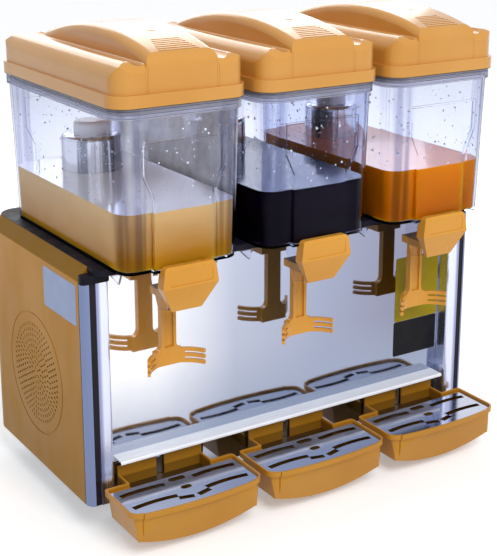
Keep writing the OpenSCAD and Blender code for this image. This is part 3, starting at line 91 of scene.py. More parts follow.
class Finish:
    """A finish whose patterns lie in the machine's own frame, in metres."""

    def __init__(self, name, **sockets):
        self.material = bpy.data.materials.new(name)
        self.material.use_nodes = True
        self.tree = self.material.node_tree
        self.shader = self.tree.nodes["Principled BSDF"]
        self.place = self.tree.nodes.new("ShaderNodeTexCoord").outputs["Object"]
        self.normal = None
        self.set(**sockets)

    def set(self, **sockets):
        for name, value in sockets.items():
            self.shader.inputs[name.replace("_", " ")].default_value = value

    def node(self, kind, inputs=(), **settings):
        made = self.tree.nodes.new(kind)
        for key, value in settings.items():
            setattr(made, key, value)
        for key, value in dict(inputs).items():
            if isinstance(value, bpy.types.NodeSocket):
                self.tree.links.new(value, made.inputs[key])
            else:
                made.inputs[key].default_value = value
        return made

    def noise(self, scale, detail, stretch=None):
        at = self.place
        if stretch is not None:
            at = self.node("ShaderNodeMapping", {"Vector": self.place, "Scale": stretch}).outputs["Vector"]
        inputs = {"Vector": at, "Scale": scale, "Detail": detail, "Roughness": 0.55}
        return self.node("ShaderNodeTexNoise", inputs).outputs["Fac"]

    def spangle(self, scale):
        """A random share for each of many small cells."""
        cells = self.node("ShaderNodeTexVoronoi", {"Vector": self.place, "Scale": scale}).outputs["Color"]
        return self.node("ShaderNodeSeparateColor", {"Color": cells}).outputs["Red"]

    def spread(self, value, low, high, from_low=0.3, from_high=0.7):
        inputs = {"Value": value, "From Min": from_low, "From Max": from_high, "To Min": low, "To Max": high}
        return self.node("ShaderNodeMapRange", inputs).outputs["Result"]

    def maths(self, operation, a, b=0.0):
        return self.node("ShaderNodeMath", {0: a, 1: b}, operation=operation).outputs["Value"]

    def times(self, a, b):
        return self.maths("MULTIPLY", a, b)

    def length(self, vector):
        return self.node("ShaderNodeVectorMath", {0: vector}, operation="LENGTH").outputs["Value"]

    def axis(self, name):
        return self.node("ShaderNodeSeparateXYZ", {"Vector": self.place}).outputs[name]

    def between(self, value, low, high, soft):
        """1 between two bounds and 0 outside them, with a soft edge."""
        up = self.spread(value, 0.0, 1.0, low - soft, low + soft)
        down = self.spread(value, 1.0, 0.0, high - soft, high + soft)
        return self.times(up, down)

    def blend(self, share, a, b):
        made = self.node("ShaderNodeMix", {"Factor": share}, data_type="RGBA")
        for socket, value in ((made.inputs[6], a), (made.inputs[7], b)):
            if isinstance(value, bpy.types.NodeSocket):
                self.tree.links.new(value, socket)
            else:
                socket.default_value = value
        return made.outputs[2]

    def feed(self, socket, value):
        self.tree.links.new(value, self.shader.inputs[socket])

    def colour_so_far(self):
        return self.shader.inputs["Base Color"].links[0].from_socket

    def relief(self, height, strength, distance):
        """Adds a bump to the ones that are there already."""
        inputs = {"Height": height, "Strength": strength, "Distance": distance}
        if self.normal is not None:
            inputs["Normal"] = self.normal
        self.normal = self.node("ShaderNodeBump", inputs).outputs["Normal"]
        self.feed("Normal", self.normal)


def moulded(name, colour, shade, rough=(0.26, 0.40), grain=0.05, coat=0.0, gloss=0.5, tint=None):
    """Injection-moulded plastic: slow colour drift, a fine spark-eroded grain and faint handling marks.
    A tint is a pair: a function that gives its share, and its colour."""
    f = Finish(name, IOR=1.5, Specular_IOR_Level=gloss, Coat_Weight=coat, Coat_Roughness=0.12, Coat_IOR=1.25)
    drift = f.spread(f.noise(7.0, 2.0), 0.0, 1.0)
    base = f.blend(drift, colour, shade)
    if tint is not None:
        share, deep = tint
        base = f.blend(share(f), base, deep)
    f.feed("Base Color", base)
    rub = f.noise(38.0, 4.0, (1.0, 1.0, 0.35))
    f.feed("Roughness", f.spread(rub, rough[0], rough[1], 0.35, 0.68))
    f.relief(f.noise(1500.0, 2.0), grain, 0.0002)
    f.relief(f.noise(16.0, 1.0), 0.04, 0.002)
    return f


def rolled_steel(name, tint, rough, brush, fine=0.02, metallic=1.0):
    """Rolled sheet: long fine lines along the brush axis, smears in the polish."""
    f = Finish(name, Metallic=metallic, IOR=2.5)
    lines = f.noise(60.0, 3.0, brush)
    smear = f.noise(9.0, 3.0)
    f.feed("Base Color", f.blend(f.spread(smear, 0.0, 1.0), tint, dimmed(tint, 0.9)))
    mixed = f.maths("ADD", f.times(lines, 0.6), f.times(smear, 0.4))
    f.feed("Roughness", f.spread(mixed, rough[0], rough[1], 0.36, 0.64))
    f.relief(lines, fine, 0.0002)
    return f


def galvanised(name, tint):
    """Zinc-coated sheet with its spangle."""
    f = Finish(name, Metallic=0.85, IOR=2.0)
    f.feed("Base Color", f.blend(f.spangle(170.0), tint, dimmed(tint, 0.82)))
    f.feed("Roughness", f.spread(f.noise(30.0, 4.0), 0.38, 0.58))
    f.relief(f.noise(260.0, 3.0), 0.06, 0.0003)
    return f


def soft_black(name, colour, pale, rough=(0.42, 0.62), grain=0.12, scale=900.0, gloss=0.4):
    """Black plastic, paint or rubber with a fine texture and a little dust."""
    f = Finish(name, IOR=1.48, Specular_IOR_Level=gloss)
    dust = f.spread(f.noise(24.0, 5.0), 0.0, 1.0, 0.42, 0.75)
    f.feed("Base Color", f.blend(dust, colour, pale))
    f.feed("Roughness", f.spread(f.noise(55.0, 3.0), rough[0], rough[1]))
    f.relief(f.noise(scale, 2.0), grain, 0.0003)
    return f


def printed(name, colour, worn):
    """Printed film or ink: rubbed a little pale, with a faint orange peel."""
    f = Finish(name, IOR=1.46, Specular_IOR_Level=0.15)
    rubbed = f.spread(f.noise(45.0, 4.0), 0.0, 1.0, 0.4, 0.75)
    f.feed("Base Color", f.blend(rubbed, colour, worn))
    f.feed("Roughness", f.spread(f.noise(90.0, 3.0), 0.3, 0.45))
    f.relief(f.noise(420.0, 2.0), 0.05, 0.0002)
    return f


# Where the finishes of the plastic pieces change: heights, depths and distances out from the middle

PANEL_SLOPE_Z = (0.3368, 0.3382)
PANEL_FADE_Z = (0.06, 0.31)
VENT_Y, VENT_Z, VENT_R = 0.0435, 0.170, 0.067
VENT_WALL_X = (0.3086, 0.3096)
LID_FOOT_Z = (0.5568, 0.5579)
TRAY_FLOOR_Z = (0.0570, 0.0600)
TRAY_REAR_Y = (-0.128, -0.120)
TRAY_RIM_Z = (0.0625, 0.0645)


def panel_finish():
    """Side panels: gold plastic, with painted shade: darker along the sloped top edge where the bowls
    overhang it, darker towards the foot, and near black in the openings of the vent."""
    # Painted shade: the sloped top edge is darkened as if shaded by the bowls above, and the panel is
    # darkened towards its foot.
    def deeper(f):
        height = f.axis("Z")
        slope = f.spread(height, 0.0, 0.92, *PANEL_SLOPE_Z)
        return f.maths("MAXIMUM", slope, f.spread(height, 0.62, 0.0, *PANEL_FADE_Z))
    f = moulded("gold_side_panel", shown(202, 147, 68), shown(192, 135, 52), rough=(0.34, 0.5), grain=0.08,
                gloss=0.1, tint=(deeper, shown(136, 96, 6)))
    # Painted shade: the walls inside the vent's openings are painted near black.
    along = f.maths("SUBTRACT", f.axis("Y"), VENT_Y)
    above = f.maths("SUBTRACT", f.axis("Z"), VENT_Z)
    from_vent = f.node("ShaderNodeCombineXYZ", {"Y": along, "Z": above}).outputs["Vector"]
    near = f.maths("LESS_THAN", f.length(from_vent), VENT_R)
    inside = f.spread(f.maths("ABSOLUTE", f.axis("X")), 1.0, 0.0, *VENT_WALL_X)
    f.feed("Base Color", f.blend(f.times(near, inside), f.colour_so_far(), shown(26, 16, 6)))
    return f


def lid_finish():
    """Lids: glossy gold plastic with a painted shadow line where the rim meets the bowl."""
    # Painted shadow: a dark band at the rim's foot stands in for the shade of the gap between lid and bowl.
    def foot(f):
        return f.times(f.between(f.axis("Z"), *LID_FOOT_Z, soft=0.0002), 0.9)
    return moulded("gold_lid", shown(214, 154, 74), shown(205, 143, 60), rough=(0.17, 0.27), coat=1.0,
                   gloss=0.25, tint=(foot, shown(46, 34, 24)))


def tap_finish():
    return moulded("gold_tap", shown(220, 156, 58), shown(211, 144, 44), rough=(0.24, 0.36), coat=0.5,
                   gloss=0.25)


def tray_finish():
    """Trays: gold plastic, with painted shade on the floor under the grid and a little on the walls behind
    it.
    """
    # Painted shade: the floor under the grid and the rear walls under the ledge are darkened as if in shadow.
    def stain(f):
        normal = f.node("ShaderNodeNewGeometry").outputs["Normal"]
        up = f.node("ShaderNodeSeparateXYZ", {"Vector": normal}).outputs["Z"]
        height = f.axis("Z")
        floor = f.times(f.spread(up, 0.0, 0.92, 0.05, 0.3), f.spread(height, 1.0, 0.0, *TRAY_FLOOR_Z))
        behind = f.spread(f.axis("Y"), 0.0, 0.5, *TRAY_REAR_Y)
        return f.maths("MAXIMUM", floor, f.times(behind, f.spread(height, 1.0, 0.0, *TRAY_RIM_Z)))
    return moulded("gold_tray", shown(196, 138, 42), shown(186, 126, 30), rough=(0.28, 0.42), coat=0.15,
                   gloss=0.3, tint=(stain, shown(30, 20, 8)))


# Where the clear bowls change: front and back corners, the lines in the rim, and the misted wall

BOWL_CORNER_X = 0.05
BOWL_CORNER_Y = (0.138, 0.152)
BOWL_RIM_Z = (0.5435, 0.5450)
RIM_LINE_PITCH, RIM_LINE_W = 0.0042, 0.0011
MIST_X, MIST_Z = (-0.1235, -0.1125), (0.41, 0.44)


def clear_bowl_finish():
    """Clear moulding: darker where a wall is seen edge on, tinted at its thick corners, lined and milky at
    its rim, and misted where two cold bowls face each other."""
    f = Finish("clear_bowl", IOR=1.11, Subsurface_Weight=1.0, Subsurface_Radius=(1.0, 1.0, 1.0),
               Subsurface_Scale=0.02)
    x, y, z = f.axis("X"), f.axis("Y"), f.axis("Z")
    drift = f.spread(f.noise(9.0, 2.0), 0.0, 1.0)
    clear = f.blend(drift, (0.88, 0.90, 0.97, 1.0), (0.82, 0.85, 0.95, 1.0))

    off_middle = f.maths("PINGPONG", x, HALF_PITCH)
    far_out = f.maths("GREATER_THAN", off_middle, BOWL_CORNER_X)
    corner = f.times(f.spread(f.maths("ABSOLUTE", y), 0.0, 1.0, *BOWL_CORNER_Y), far_out)
    streak = f.spread(f.noise(90.0, 2.0, (1.0, 1.0, 0.02)), 0.1, 0.85, 0.4, 0.6)
    clear = f.blend(f.times(corner, streak), clear, shown(172, 176, 204))

    rim = f.spread(z, 0.0, 1.0, *BOWL_RIM_Z)
    clear = f.blend(f.times(rim, 0.7), clear, shown(204, 208, 232))
    line = f.maths("LESS_THAN", f.maths("PINGPONG", z, RIM_LINE_PITCH / 2), RIM_LINE_W / 2)
    clear = f.blend(f.times(f.times(rim, line), 0.8), clear, shown(88, 92, 136))

    edge = f.node("ShaderNodeLayerWeight", {"Blend": 0.5}).outputs["Facing"]
    clear = f.blend(f.spread(edge, 0.0, 1.0, 0.55, 0.90), clear, shown(76, 80, 112))

    between_bowls = f.times(f.between(x, *MIST_X, soft=0.001), f.spread(z, 0.0, 1.0, *MIST_Z))
    mist = f.times(between_bowls, f.spread(f.noise(30.0, 4.0), 0.55, 0.95, 0.35, 0.65))
    f.feed("Base Color", f.blend(mist, clear, (0.97, 0.975, 1.0, 1.0)))
    milky = f.maths("MAXIMUM", mist, f.times(rim, 0.6))
    f.feed("Transmission Weight", f.spread(milky, 1.0, 0.25, 0.0, 1.0))
    f.feed("Roughness", f.spread(f.noise(14.0, 3.0), 0.0, 0.03))
    f.relief(f.noise(22.0, 2.0), 0.03, 0.001)
    return f


# Where the finishes of the metal pieces change

EVAPORATOR_CAP_Z = (0.4772, 0.4776)
POST_FRONT_Y = (-0.1088, -0.1082)
POST_SIDE_X, POST_EDGE_X = (0.2860, 0.2900), (0.3005, 0.3015)
POST_GROOVE_X = (0.2926, 0.3009)
MIRROR_FOOT_Z = (0.09, 0.20)


def evaporator_finish():
    """Polished cylinder with long streaks down it and a white moulded cap."""
    f = rolled_steel("polished_evaporator", shown(240, 242, 250), (0.12, 0.24), (8.0, 8.0, 0.5), 0.02)
    streak = f.spread(f.noise(120.0, 2.0, (1.0, 1.0, 0.01)), 0.0, 0.8, 0.5, 0.62)
    tint = f.blend(streak, f.colour_so_far(), shown(86, 94, 118))
    cap = f.spread(f.axis("Z"), 0.0, 1.0, *EVAPORATOR_CAP_Z)
    f.feed("Base Color", f.blend(cap, tint, shown(236, 238, 246)))
    f.feed("Metallic", f.spread(cap, 0.8, 0.0, 0.0, 1.0))
    f.set(IOR=1.5)
    return f


def post_finish():
    """Posts: anodised, darker in two steps outwards, with painted shade in black down the groove's front."""
    f = rolled_steel("anodised_post", shown(226, 230, 250), (0.2, 0.32), (14.0, 14.0, 0.3), 0.03)
    f.set(IOR=1.45, Specular_IOR_Level=0.15)
    out = f.maths("ABSOLUTE", f.axis("X"))
    tint = f.blend(f.spread(out, 0.0, 1.0, *POST_SIDE_X), f.colour_so_far(), shown(150, 156, 192))
    tint = f.blend(f.spread(out, 0.0, 1.0, *POST_EDGE_X), tint, shown(118, 130, 166))
    front = f.spread(f.axis("Y"), 1.0, 0.0, *POST_FRONT_Y)
    # Painted shade: the front of the groove is painted black and not metallic.
    painted_groove_shade = f.times(f.between(out, *POST_GROOVE_X, soft=0.0002), front)
    f.feed("Base Color", f.blend(painted_groove_shade, tint, shown(34, 28, 34)))
    f.feed("Metallic", f.spread(painted_groove_shade, 1.0, 0.0, 0.0, 1.0))
    return f


def mirror_finish():
    """Mirror-polished front sheet with a painted reflection: darker towards the right and the bottom."""
    f = rolled_steel("mirror_front", shown(250, 250, 255), (0.03, 0.08), (1.0, 1.0, 9.0), 0.006)
    tint = f.colour_so_far()
    # Painted reflection: the tint steps darker from left to right, and darker again towards the foot.
    across = f.axis("X")
    for start, end, colour in ((-0.20, -0.08, shown(180, 186, 204)), (-0.08, 0.065, shown(157, 163, 186)),
                               (0.065, 0.22, shown(138, 139, 159))):
        tint = f.blend(f.spread(across, 0.0, 1.0, start, end), tint, colour)
    foot = f.spread(f.axis("Z"), 0.85, 0.0, *MIRROR_FOOT_Z)
    f.feed("Base Color", f.blend(foot, tint, shown(158, 170, 194)))
    return f


FINISHES = {
    "amber_panel": panel_finish(),
    "amber_lid": lid_finish(),
    "amber_tap": tap_finish(),
    "amber_tray": tray_finish(),
    "clear_plastic": clear_bowl_finish(),
    "mirror_steel": mirror_finish(),
    "ledge_steel": rolled_steel("bright_ledge", shown(250, 251, 255), (0.24, 0.36), (0.3, 14.0, 14.0), 0.008,
                                metallic=0.05),
    "bracket_steel": rolled_steel("bracket_steel", shown(212, 214, 224), (0.16, 0.3), (1.0, 8.0, 8.0), 0.03),
    "grid_steel": rolled_steel("polished_grid", shown(206, 211, 230), (0.08, 0.18), (0.6, 8.0, 8.0), 0.02),
    "evaporator_steel": evaporator_finish(),
    "spring_steel": rolled_steel("spring_wire", shown(190, 190, 196), (0.18, 0.32), (4.0, 4.0, 4.0), 0.02),
    "post_aluminium": post_finish(),
    "fin_aluminium": rolled_steel("fin_aluminium", shown(214, 216, 220), (0.3, 0.48), (5.0, 5.0, 1.0), 0.05),
    "motor_metal": galvanised("motor_can", shown(176, 178, 184)),
    "sheet_metal": galvanised("zinc_sheet", shown(188, 192, 200)),
    "black_paint": soft_black("black_paint", shown(24, 24, 26), shown(44, 44, 48), (0.28, 0.45), 0.05, 300.0),
    "black_plastic": soft_black("black_plastic", shown(14, 12, 24), shown(26, 24, 38), gloss=0.15),
    "grey_plastic": moulded("grey_plastic", shown(150, 152, 158), shown(138, 140, 147), (0.4, 0.55), 0.1),
    "rocker_plastic": soft_black("rocker_plastic", shown(30, 30, 32), shown(46, 46, 50), (0.22, 0.34), 0.04),
    "white_plastic": moulded("white_plastic", shown(232, 232, 228), shown(220, 220, 216), (0.32, 0.46), 0.06),
    "copper": rolled_steel("copper_pipe", shown(205, 128, 88), (0.22, 0.42), (3.0, 3.0, 3.0), 0.03),
    "rubber": soft_black("foot_rubber", shown(26, 26, 27), shown(50, 50, 52), (0.6, 0.8), 0.2, 600.0),
    "gasket_rubber": soft_black("gasket_rubber", shown(60, 60, 64), shown(80, 80, 84), (0.55, 0.7), 0.15,
                                600.0),
}


def dress_cad():
    """Gives every CAD node the finish of its material slot."""
    slots = {row["node"]: row["material_slot"] for row in frame["record"]["subparts"]}
    for name, node in nodes.items():
        node.data.materials.clear()
        node.data.materials.append(FINISHES[slots[name]].material)


# Pieces

def keep(name, mesh, body, finish, smooth=None):
    """Makes a finished piece of a mesh that already lies in its place."""
    piece = bpy.data.objects.new(name, mesh)
    bpy.context.scene.collection.objects.link(piece)
    if finish is not None:
        mesh.materials.clear()
        mesh.materials.append(finish.material)
    if smooth is not None:
        mesh.shade_smooth()
        mesh.set_sharp_from_angle(angle=math.radians(smooth))
    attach(piece, body)
    return piece


def mesh_of(name, bm):
    bmesh.ops.remove_doubles(bm, verts=bm.verts, dist=1e-6)
    bmesh.ops.recalc_face_normals(bm, faces=bm.faces)
    return raw_mesh_of(name, bm)


def raw_mesh_of(name, bm):
    mesh = bpy.data.meshes.new(name)
    bm.to_mesh(mesh)
    bm.free()
    return mesh


def round_corners(w, h, r, arc):
    """Outline of a rectangle with round corners, anticlockwise about its middle."""
    outline = []
    for turn, (sx, sy) in enumerate(((1, 1), (-1, 1), (-1, -1), (1, -1))):
        for k in range(arc + 1):
            a = math.radians(90 * turn + 90 * k / arc)
            outline.append((sx * (w / 2 - r) + r * math.cos(a), sy * (h / 2 - r) + r * math.sin(a)))
    return outline


def loop_of(bm, points):
    verts = [bm.verts.new(p) for p in points]
    edges = [bm.edges.new((verts[k - 1], verts[k])) for k in range(len(verts))]
    return verts, edges


def wall_between(bm, low, high):
    for k in range(len(low)):
        bm.faces.new((low[k - 1], low[k], high[k], high[k - 1]))


# Juice in the bowls

BOWL_FLOOR, BOWL_INSIDE_H, BOWL_MIDDLE_Y = 0.359, 0.198, -0.002
BOWL_HALF_W, BOWL_HALF_D, BOWL_R, BOWL_FLARE = 0.079, 0.1595, 0.019, 0.006
STEP_HALF_W, STEP_HALF_D = 0.041, 0.1665
WALL_GAP = 0.0006
JUICE_FLOOR, JUICE_TOP, JUICE_LEVELS = 0.3595, 0.4300, 5
JUICE_SETTLED_Z = (0.380, 0.432)
STIR_ROOM_TOP, STIR_ROOM_R = 0.3745, 0.0665
EVAPORATOR_Y, BORE_R, FROST_R = 0.0825, 0.0397, 0.0391

# Each juice's name, its colour high up and settled, the painted reflection on its top surface and how wet
# that is
JUICES = {
    "left": ("pineapple_juice", shown(224, 180, 116), shown(192, 128, 8), shown(252, 252, 255), 1.0),
    "middle": ("grape_juice", shown(12, 3, 22), shown(8, 2, 16), shown(36, 56, 108), 0.25),
    "right": ("orange_juice", shown(226, 128, 2), shown(200, 104, 0), shown(244, 150, 120), 0.4),
}


def bowl_inside(x, z, gap=WALL_GAP, arc=8):
    """Outline of the bowl's inside at one height, with the stepped panels at the front and the back."""
    flare = BOWL_FLARE * (z - BOWL_FLOOR) / BOWL_INSIDE_H - gap
    half_w, half_d = BOWL_HALF_W + flare, BOWL_HALF_D + flare
    step_x, step_y = STEP_HALF_W - gap, STEP_HALF_D - gap
    flat = round_corners(2 * half_w, 2 * half_d, BOWL_R + flare, arc)
    corners = [flat[k:k + arc + 1] for k in range(0, len(flat), arc + 1)]
    back = [(step_x, half_d), (step_x, step_y), (-step_x, step_y), (-step_x, half_d)]
    front = [(-a, -b) for a, b in back]
    outline = corners[0] + back + corners[1] + corners[2] + front + corners[3]
    return [Vector((x + a, BOWL_MIDDLE_Y + b, z)) for a, b in outline]


def ring(x, z, r, count=64):
    """Points round the axis of a bowl's evaporator, at one height."""
    turns = [2 * math.pi * k / count for k in range(count)]
    return [Vector((x + r * math.cos(a), EVAPORATOR_Y + r * math.sin(a), z)) for a in turns]


def juice_finish(name, colour, settled, gloss, wet=0.0, murk=0.0):
    """Juice with drifting pulp, deeper in colour towards the bowl's floor, wet on top and murky below."""
    f = Finish(name, IOR=1.34, Specular_IOR_Level=gloss, Coat_Weight=wet, Coat_Roughness=0.05,
               Subsurface_Weight=murk, Subsurface_Radius=(1.0, 0.8, 0.6), Subsurface_Scale=0.03)
    drift = f.times(f.noise(26.0, 5.0, (1.0, 1.0, 2.2)), 0.016)
    height = f.maths("ADD", f.axis("Z"), drift)
    f.feed("Base Color", f.blend(f.spread(height, 1.0, 0.0, *JUICE_SETTLED_Z), colour, settled))
    f.feed("Roughness", f.spread(f.noise(70.0, 3.0), 0.08, 0.2))
    f.relief(f.noise(40.0, 2.0), 0.008, 0.001)
    return f


def juice(side, x):
    """The juice as one closed body, with room for the evaporator and the agitator."""
    name, colour, settled, painted_top_sheen, wet = JUICES[side]
    bm = bmesh.new()
    rise = (JUICE_TOP - JUICE_FLOOR) / (JUICE_LEVELS - 1)
    walls = [loop_of(bm, bowl_inside(x, JUICE_FLOOR + rise * k)) for k in range(JUICE_LEVELS)]
    for low, high in zip(walls, walls[1:]):
        wall_between(bm, low[0], high[0])
    room_low, room_high = (loop_of(bm, ring(x, z, STIR_ROOM_R)) for z in (JUICE_FLOOR, STIR_ROOM_TOP))
    bore_low, bore_high = (loop_of(bm, ring(x, z, BORE_R)) for z in (STIR_ROOM_TOP, JUICE_TOP))
    wall_between(bm, room_low[0], room_high[0])
    wall_between(bm, bore_low[0], bore_high[0])
    wall_between(bm, room_high[0], bore_low[0])
    for outer, inner in ((walls[-1], bore_high), (walls[0], room_low)):
        bmesh.ops.triangle_fill(bm, use_beauty=True, use_dissolve=False, edges=outer[1] + inner[1])
    mesh = mesh_of(side + "_juice", bm)
    body = juice_finish(name, colour, settled, gloss=0.05, murk=0.8)
    keep(side + "_juice", mesh, side + "_tank", body, smooth=30)
    # The top faces get a painted reflection: a sheen colour that stands in for the light reflected by the
    # surface.
    mesh.materials.append(juice_finish(name + "_froth", painted_top_sheen, colour, gloss=wet, wet=wet).material)
    for face in mesh.polygons:
        if face.normal.z > 0.9:
            face.material_index = 1


# Small repeated pieces, grown by Geometry Nodes

class Growth:
    """A Geometry Nodes tree with named sizes, whose result is kept as a plain mesh."""

    def __init__(self, name):
        self.name = name
        self.group = bpy.data.node_groups.new(name, "GeometryNodeTree")
        self.ids = {}
        self.group.interface.new_socket("Geometry", in_out="INPUT", socket_type="NodeSocketGeometry")
        self.group.interface.new_socket("Geometry", in_out="OUTPUT", socket_type="NodeSocketGeometry")
        self.start = self.group.nodes.new("NodeGroupInput")
        self.end = self.group.nodes.new("NodeGroupOutput")

    def size(self, name, value, kind="Float"):
        made = self.group.interface.new_socket(name, in_out="INPUT", socket_type="NodeSocket" + kind)
        made.default_value = value
        self.ids[name] = made.identifier
        return self.start.outputs[name]

    def node(self, kind, inputs=(), **settings):
        made = self.group.nodes.new(kind)
        for key, value in settings.items():
            setattr(made, key, value)
        for key, value in dict(inputs).items():
            if isinstance(value, bpy.types.NodeSocket):
                self.group.links.new(value, made.inputs[key])
            elif isinstance(value, list):
                for one in value:
                    self.group.links.new(one, made.inputs[key])
            else:
                made.inputs[key].default_value = value
        return made

    def maths(self, operation, a, b):
        return self.node("ShaderNodeMath", {0: a, 1: b}, operation=operation).outputs[0]

    def vector(self, x, y, z):
        return self.node("ShaderNodeCombineXYZ", {"X": x, "Y": y, "Z": z}).outputs[0]

    def facing(self):
        """Each point's own facing, turned to a rotation of the shape's Z axis."""
        named = self.node("GeometryNodeInputNamedAttribute", {"Name": "facing"}, data_type="FLOAT_VECTOR")
        turned = self.node("FunctionNodeAlignRotationToVector", {"Vector": named.outputs[0]}, axis="Z")
        return turned.outputs[0]

    def finish(self, instances, finish, smooth=False):
        last = self.node("GeometryNodeRealizeInstances", {0: instances}).outputs[0]
        last = self.node("GeometryNodeSetShadeSmooth", {0: last, "Shade Smooth": smooth}).outputs[0]
        last = self.node("GeometryNodeSetMaterial", {0: last, "Material": finish.material}).outputs[0]
        self.group.links.new(last, self.end.inputs[0])

    def grow(self, name, mesh, body, **sizes):
        """Runs the tree on a mesh and keeps the result as a piece on one body."""
        seed = bpy.data.objects.new(name + "_seed", mesh)
        bpy.context.scene.collection.objects.link(seed)
        modifier = seed.modifiers.new(self.name, "NODES")
        modifier.node_group = self.group
        for key, value in sizes.items():
            modifier[self.ids[key.replace("_", " ")]] = value
        ready = seed.evaluated_get(bpy.context.evaluated_depsgraph_get())
        made = bpy.data.meshes.new_from_object(ready)
        made.name = name
        seed.modifiers.remove(modifier)
        bpy.data.objects.remove(seed)
        return keep(name, made, body, None)


def points_facing(name, places):
    """A mesh of loose points, each with the way that its shape faces."""
    mesh = bpy.data.meshes.new(name)
    mesh.from_pydata([place for place, way in places], [], [])
    ways = mesh.attributes.new("facing", "FLOAT_VECTOR", "POINT")
    for row, (place, way) in zip(ways.data, places):
        row.vector = way
    return mesh


# Drops of water

DROPS_FOOT, DROPS_TOP, DROPS_GAP = JUICE_TOP + 0.002, 0.5420, 0.0001
FROST_FOOT, FROST_TOP = JUICE_TOP + 0.003, 0.4690


def drop_water():
    f = Finish("drop_water", IOR=1.33, Transmission_Weight=0.2, Base_Color=(0.97, 0.975, 1.0, 1.0))
    f.feed("Roughness", f.spread(f.noise(200.0, 2.0), 0.0, 0.04))
    return f


def drop_tree(finish):
    """Drops scattered on a wall, flattened against it."""
    g = Growth("drops")
    density, seed = g.size("Drops per square metre", 4200.0), g.size("Seed", 1, "Int")
    small, large, flat = g.size("Smallest", 0.0004), g.size("Largest", 0.0019), g.size("Flatness", 0.5)
    wall = g.node("GeometryNodeDistributePointsOnFaces",
                  {"Mesh": g.start.outputs["Geometry"], "Density": density, "Seed": seed},
                  distribute_method="RANDOM")
    chance = g.node("FunctionNodeRandomValue", {"Seed": seed}, data_type="FLOAT").outputs[1]
    span = g.maths("SUBTRACT", large, small)
    scale = g.maths("ADD", small, g.maths("MULTIPLY", span, g.maths("POWER", chance, 3.0)))
    ball = g.node("GeometryNodeMeshUVSphere", {"Segments": 8, "Rings": 6, "Radius": 1.0}).outputs["Mesh"]
    drop = g.node("GeometryNodeTransform", {"Geometry": ball, "Scale": g.vector(1.0, 1.0, flat),
                                            "Translation": g.vector(0.0, 0.0, flat)}).outputs[0]
    placed = g.node("GeometryNodeInstanceOnPoints", {"Points": wall.outputs["Points"], "Instance": drop,
                                                     "Rotation": wall.outputs["Rotation"], "Scale": scale})
    g.finish(placed.outputs[0], finish, smooth=True)
    return g


def drops(side, x, tree):
    """Condensed drops on the walls of a bowl, above the juice."""
    bm = bmesh.new()
    low, high = (loop_of(bm, bowl_inside(x, z, DROPS_GAP))[0] for z in (DROPS_FOOT, DROPS_TOP))
    for k in range(len(low)):
        bm.faces.new((low[k], low[k - 1], high[k - 1], high[k]))
    tree.grow(side + "_drops", raw_mesh_of(side + "_walls", bm), side + "_tank", Seed=11 + int(x * 10))


def frost(side, x, tree):
    """Drops on the cold cylinder, above the juice."""
    bm = bmesh.new()
    low, high = (loop_of(bm, ring(x, z, FROST_R))[0] for z in (FROST_FOOT, FROST_TOP))
    wall_between(bm, low, high)
    tree.grow(side + "_frost", raw_mesh_of(side + "_cylinder", bm), "cabinet", Seed=31 + int(x * 10),
              Drops_per_square_metre=9000.0, Largest=0.0011)


# Screws

SCREW_R, SCREW_H, RECESS_W = 0.0036, 0.0018, 0.0009
REAR_SCREW_INSET, REAR_SCREW_Z = 0.009, (0.058, 0.145, 0.232, 0.318)
FOOT_SCREW_X, FOOT_SCREW_Z = 0.09, 0.052
BRACKET_T, BRACKET_SCREW_X, BRACKET_SCREW_RISE = 0.002, 0.021, 0.006


def screw_tree(finish):
    """Pan-head screws with a cross recess, each turned as its driver left it."""
    g = Growth("screws")
    r, h = g.size("Head radius", SCREW_R), g.size("Head height", SCREW_H)
    recess, seed = g.size("Recess width", RECESS_W), g.size("Seed", 4, "Int")
    head = g.node("GeometryNodeMeshCone", {"Vertices": 18, "Radius Top": g.maths("MULTIPLY", r, 0.72),
                                           "Radius Bottom": r, "Depth": h}).outputs["Mesh"]
    reach = g.maths("MULTIPLY", r, 1.05)
    arms = []
    for size in (g.vector(reach, recess, h), g.vector(recess, reach, h)):
        arm = g.node("GeometryNodeMeshCube", {"Size": size}).outputs["Mesh"]
        raised = g.node("GeometryNodeTransform", {"Geometry": arm, "Translation": g.vector(0.0, 0.0, h)})
        arms.append(raised.outputs[0])
    cut = g.node("GeometryNodeMeshBoolean", {"Mesh 1": head, "Mesh 2": arms}, operation="DIFFERENCE")
    turn = g.node("FunctionNodeRandomValue", {3: 3.14, "Seed": seed}, data_type="FLOAT").outputs[1]
    spin = g.node("FunctionNodeAxisAngleToRotation", {"Axis": (0.0, 0.0, 1.0), "Angle": turn}).outputs[0]
    way = g.node("FunctionNodeRotateRotation", {0: g.facing(), 1: spin}, rotation_space="LOCAL").outputs[0]
    placed = g.node("GeometryNodeInstanceOnPoints", {"Points": g.start.outputs["Geometry"],
                                                     "Instance": cut.outputs[0], "Rotation": way})
    g.finish(placed.outputs[0], finish)
    return g


def screws(tree):
    """Screws of the rear panel and of the tray brackets."""
    low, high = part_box("rear_panel")
    columns = (low[0] + REAR_SCREW_INSET, high[0] - REAR_SCREW_INSET)
    spots = [(x, z) for x in columns for z in REAR_SCREW_Z]
    spots += [(x, FOOT_SCREW_Z) for x in (-FOOT_SCREW_X, FOOT_SCREW_X)]
    places = [((x, REAR_Y + SCREW_H / 2, z), (0.0, 1.0, 0.0)) for x, z in spots]
    bracket_y = PANEL_Y - BRACKET_T - SCREW_H / 2
    bracket_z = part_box("tray_brackets")[0][2] + BRACKET_SCREW_RISE
    for middle in SIDES.values():
        for x in (middle - BRACKET_SCREW_X, middle + BRACKET_SCREW_X):
            places.append(((x, bracket_y, bracket_z), (0.0, -1.0, 0.0)))
    tree.grow("panel_screws", points_facing("screw_places", places), "cabinet")


# Tap springs


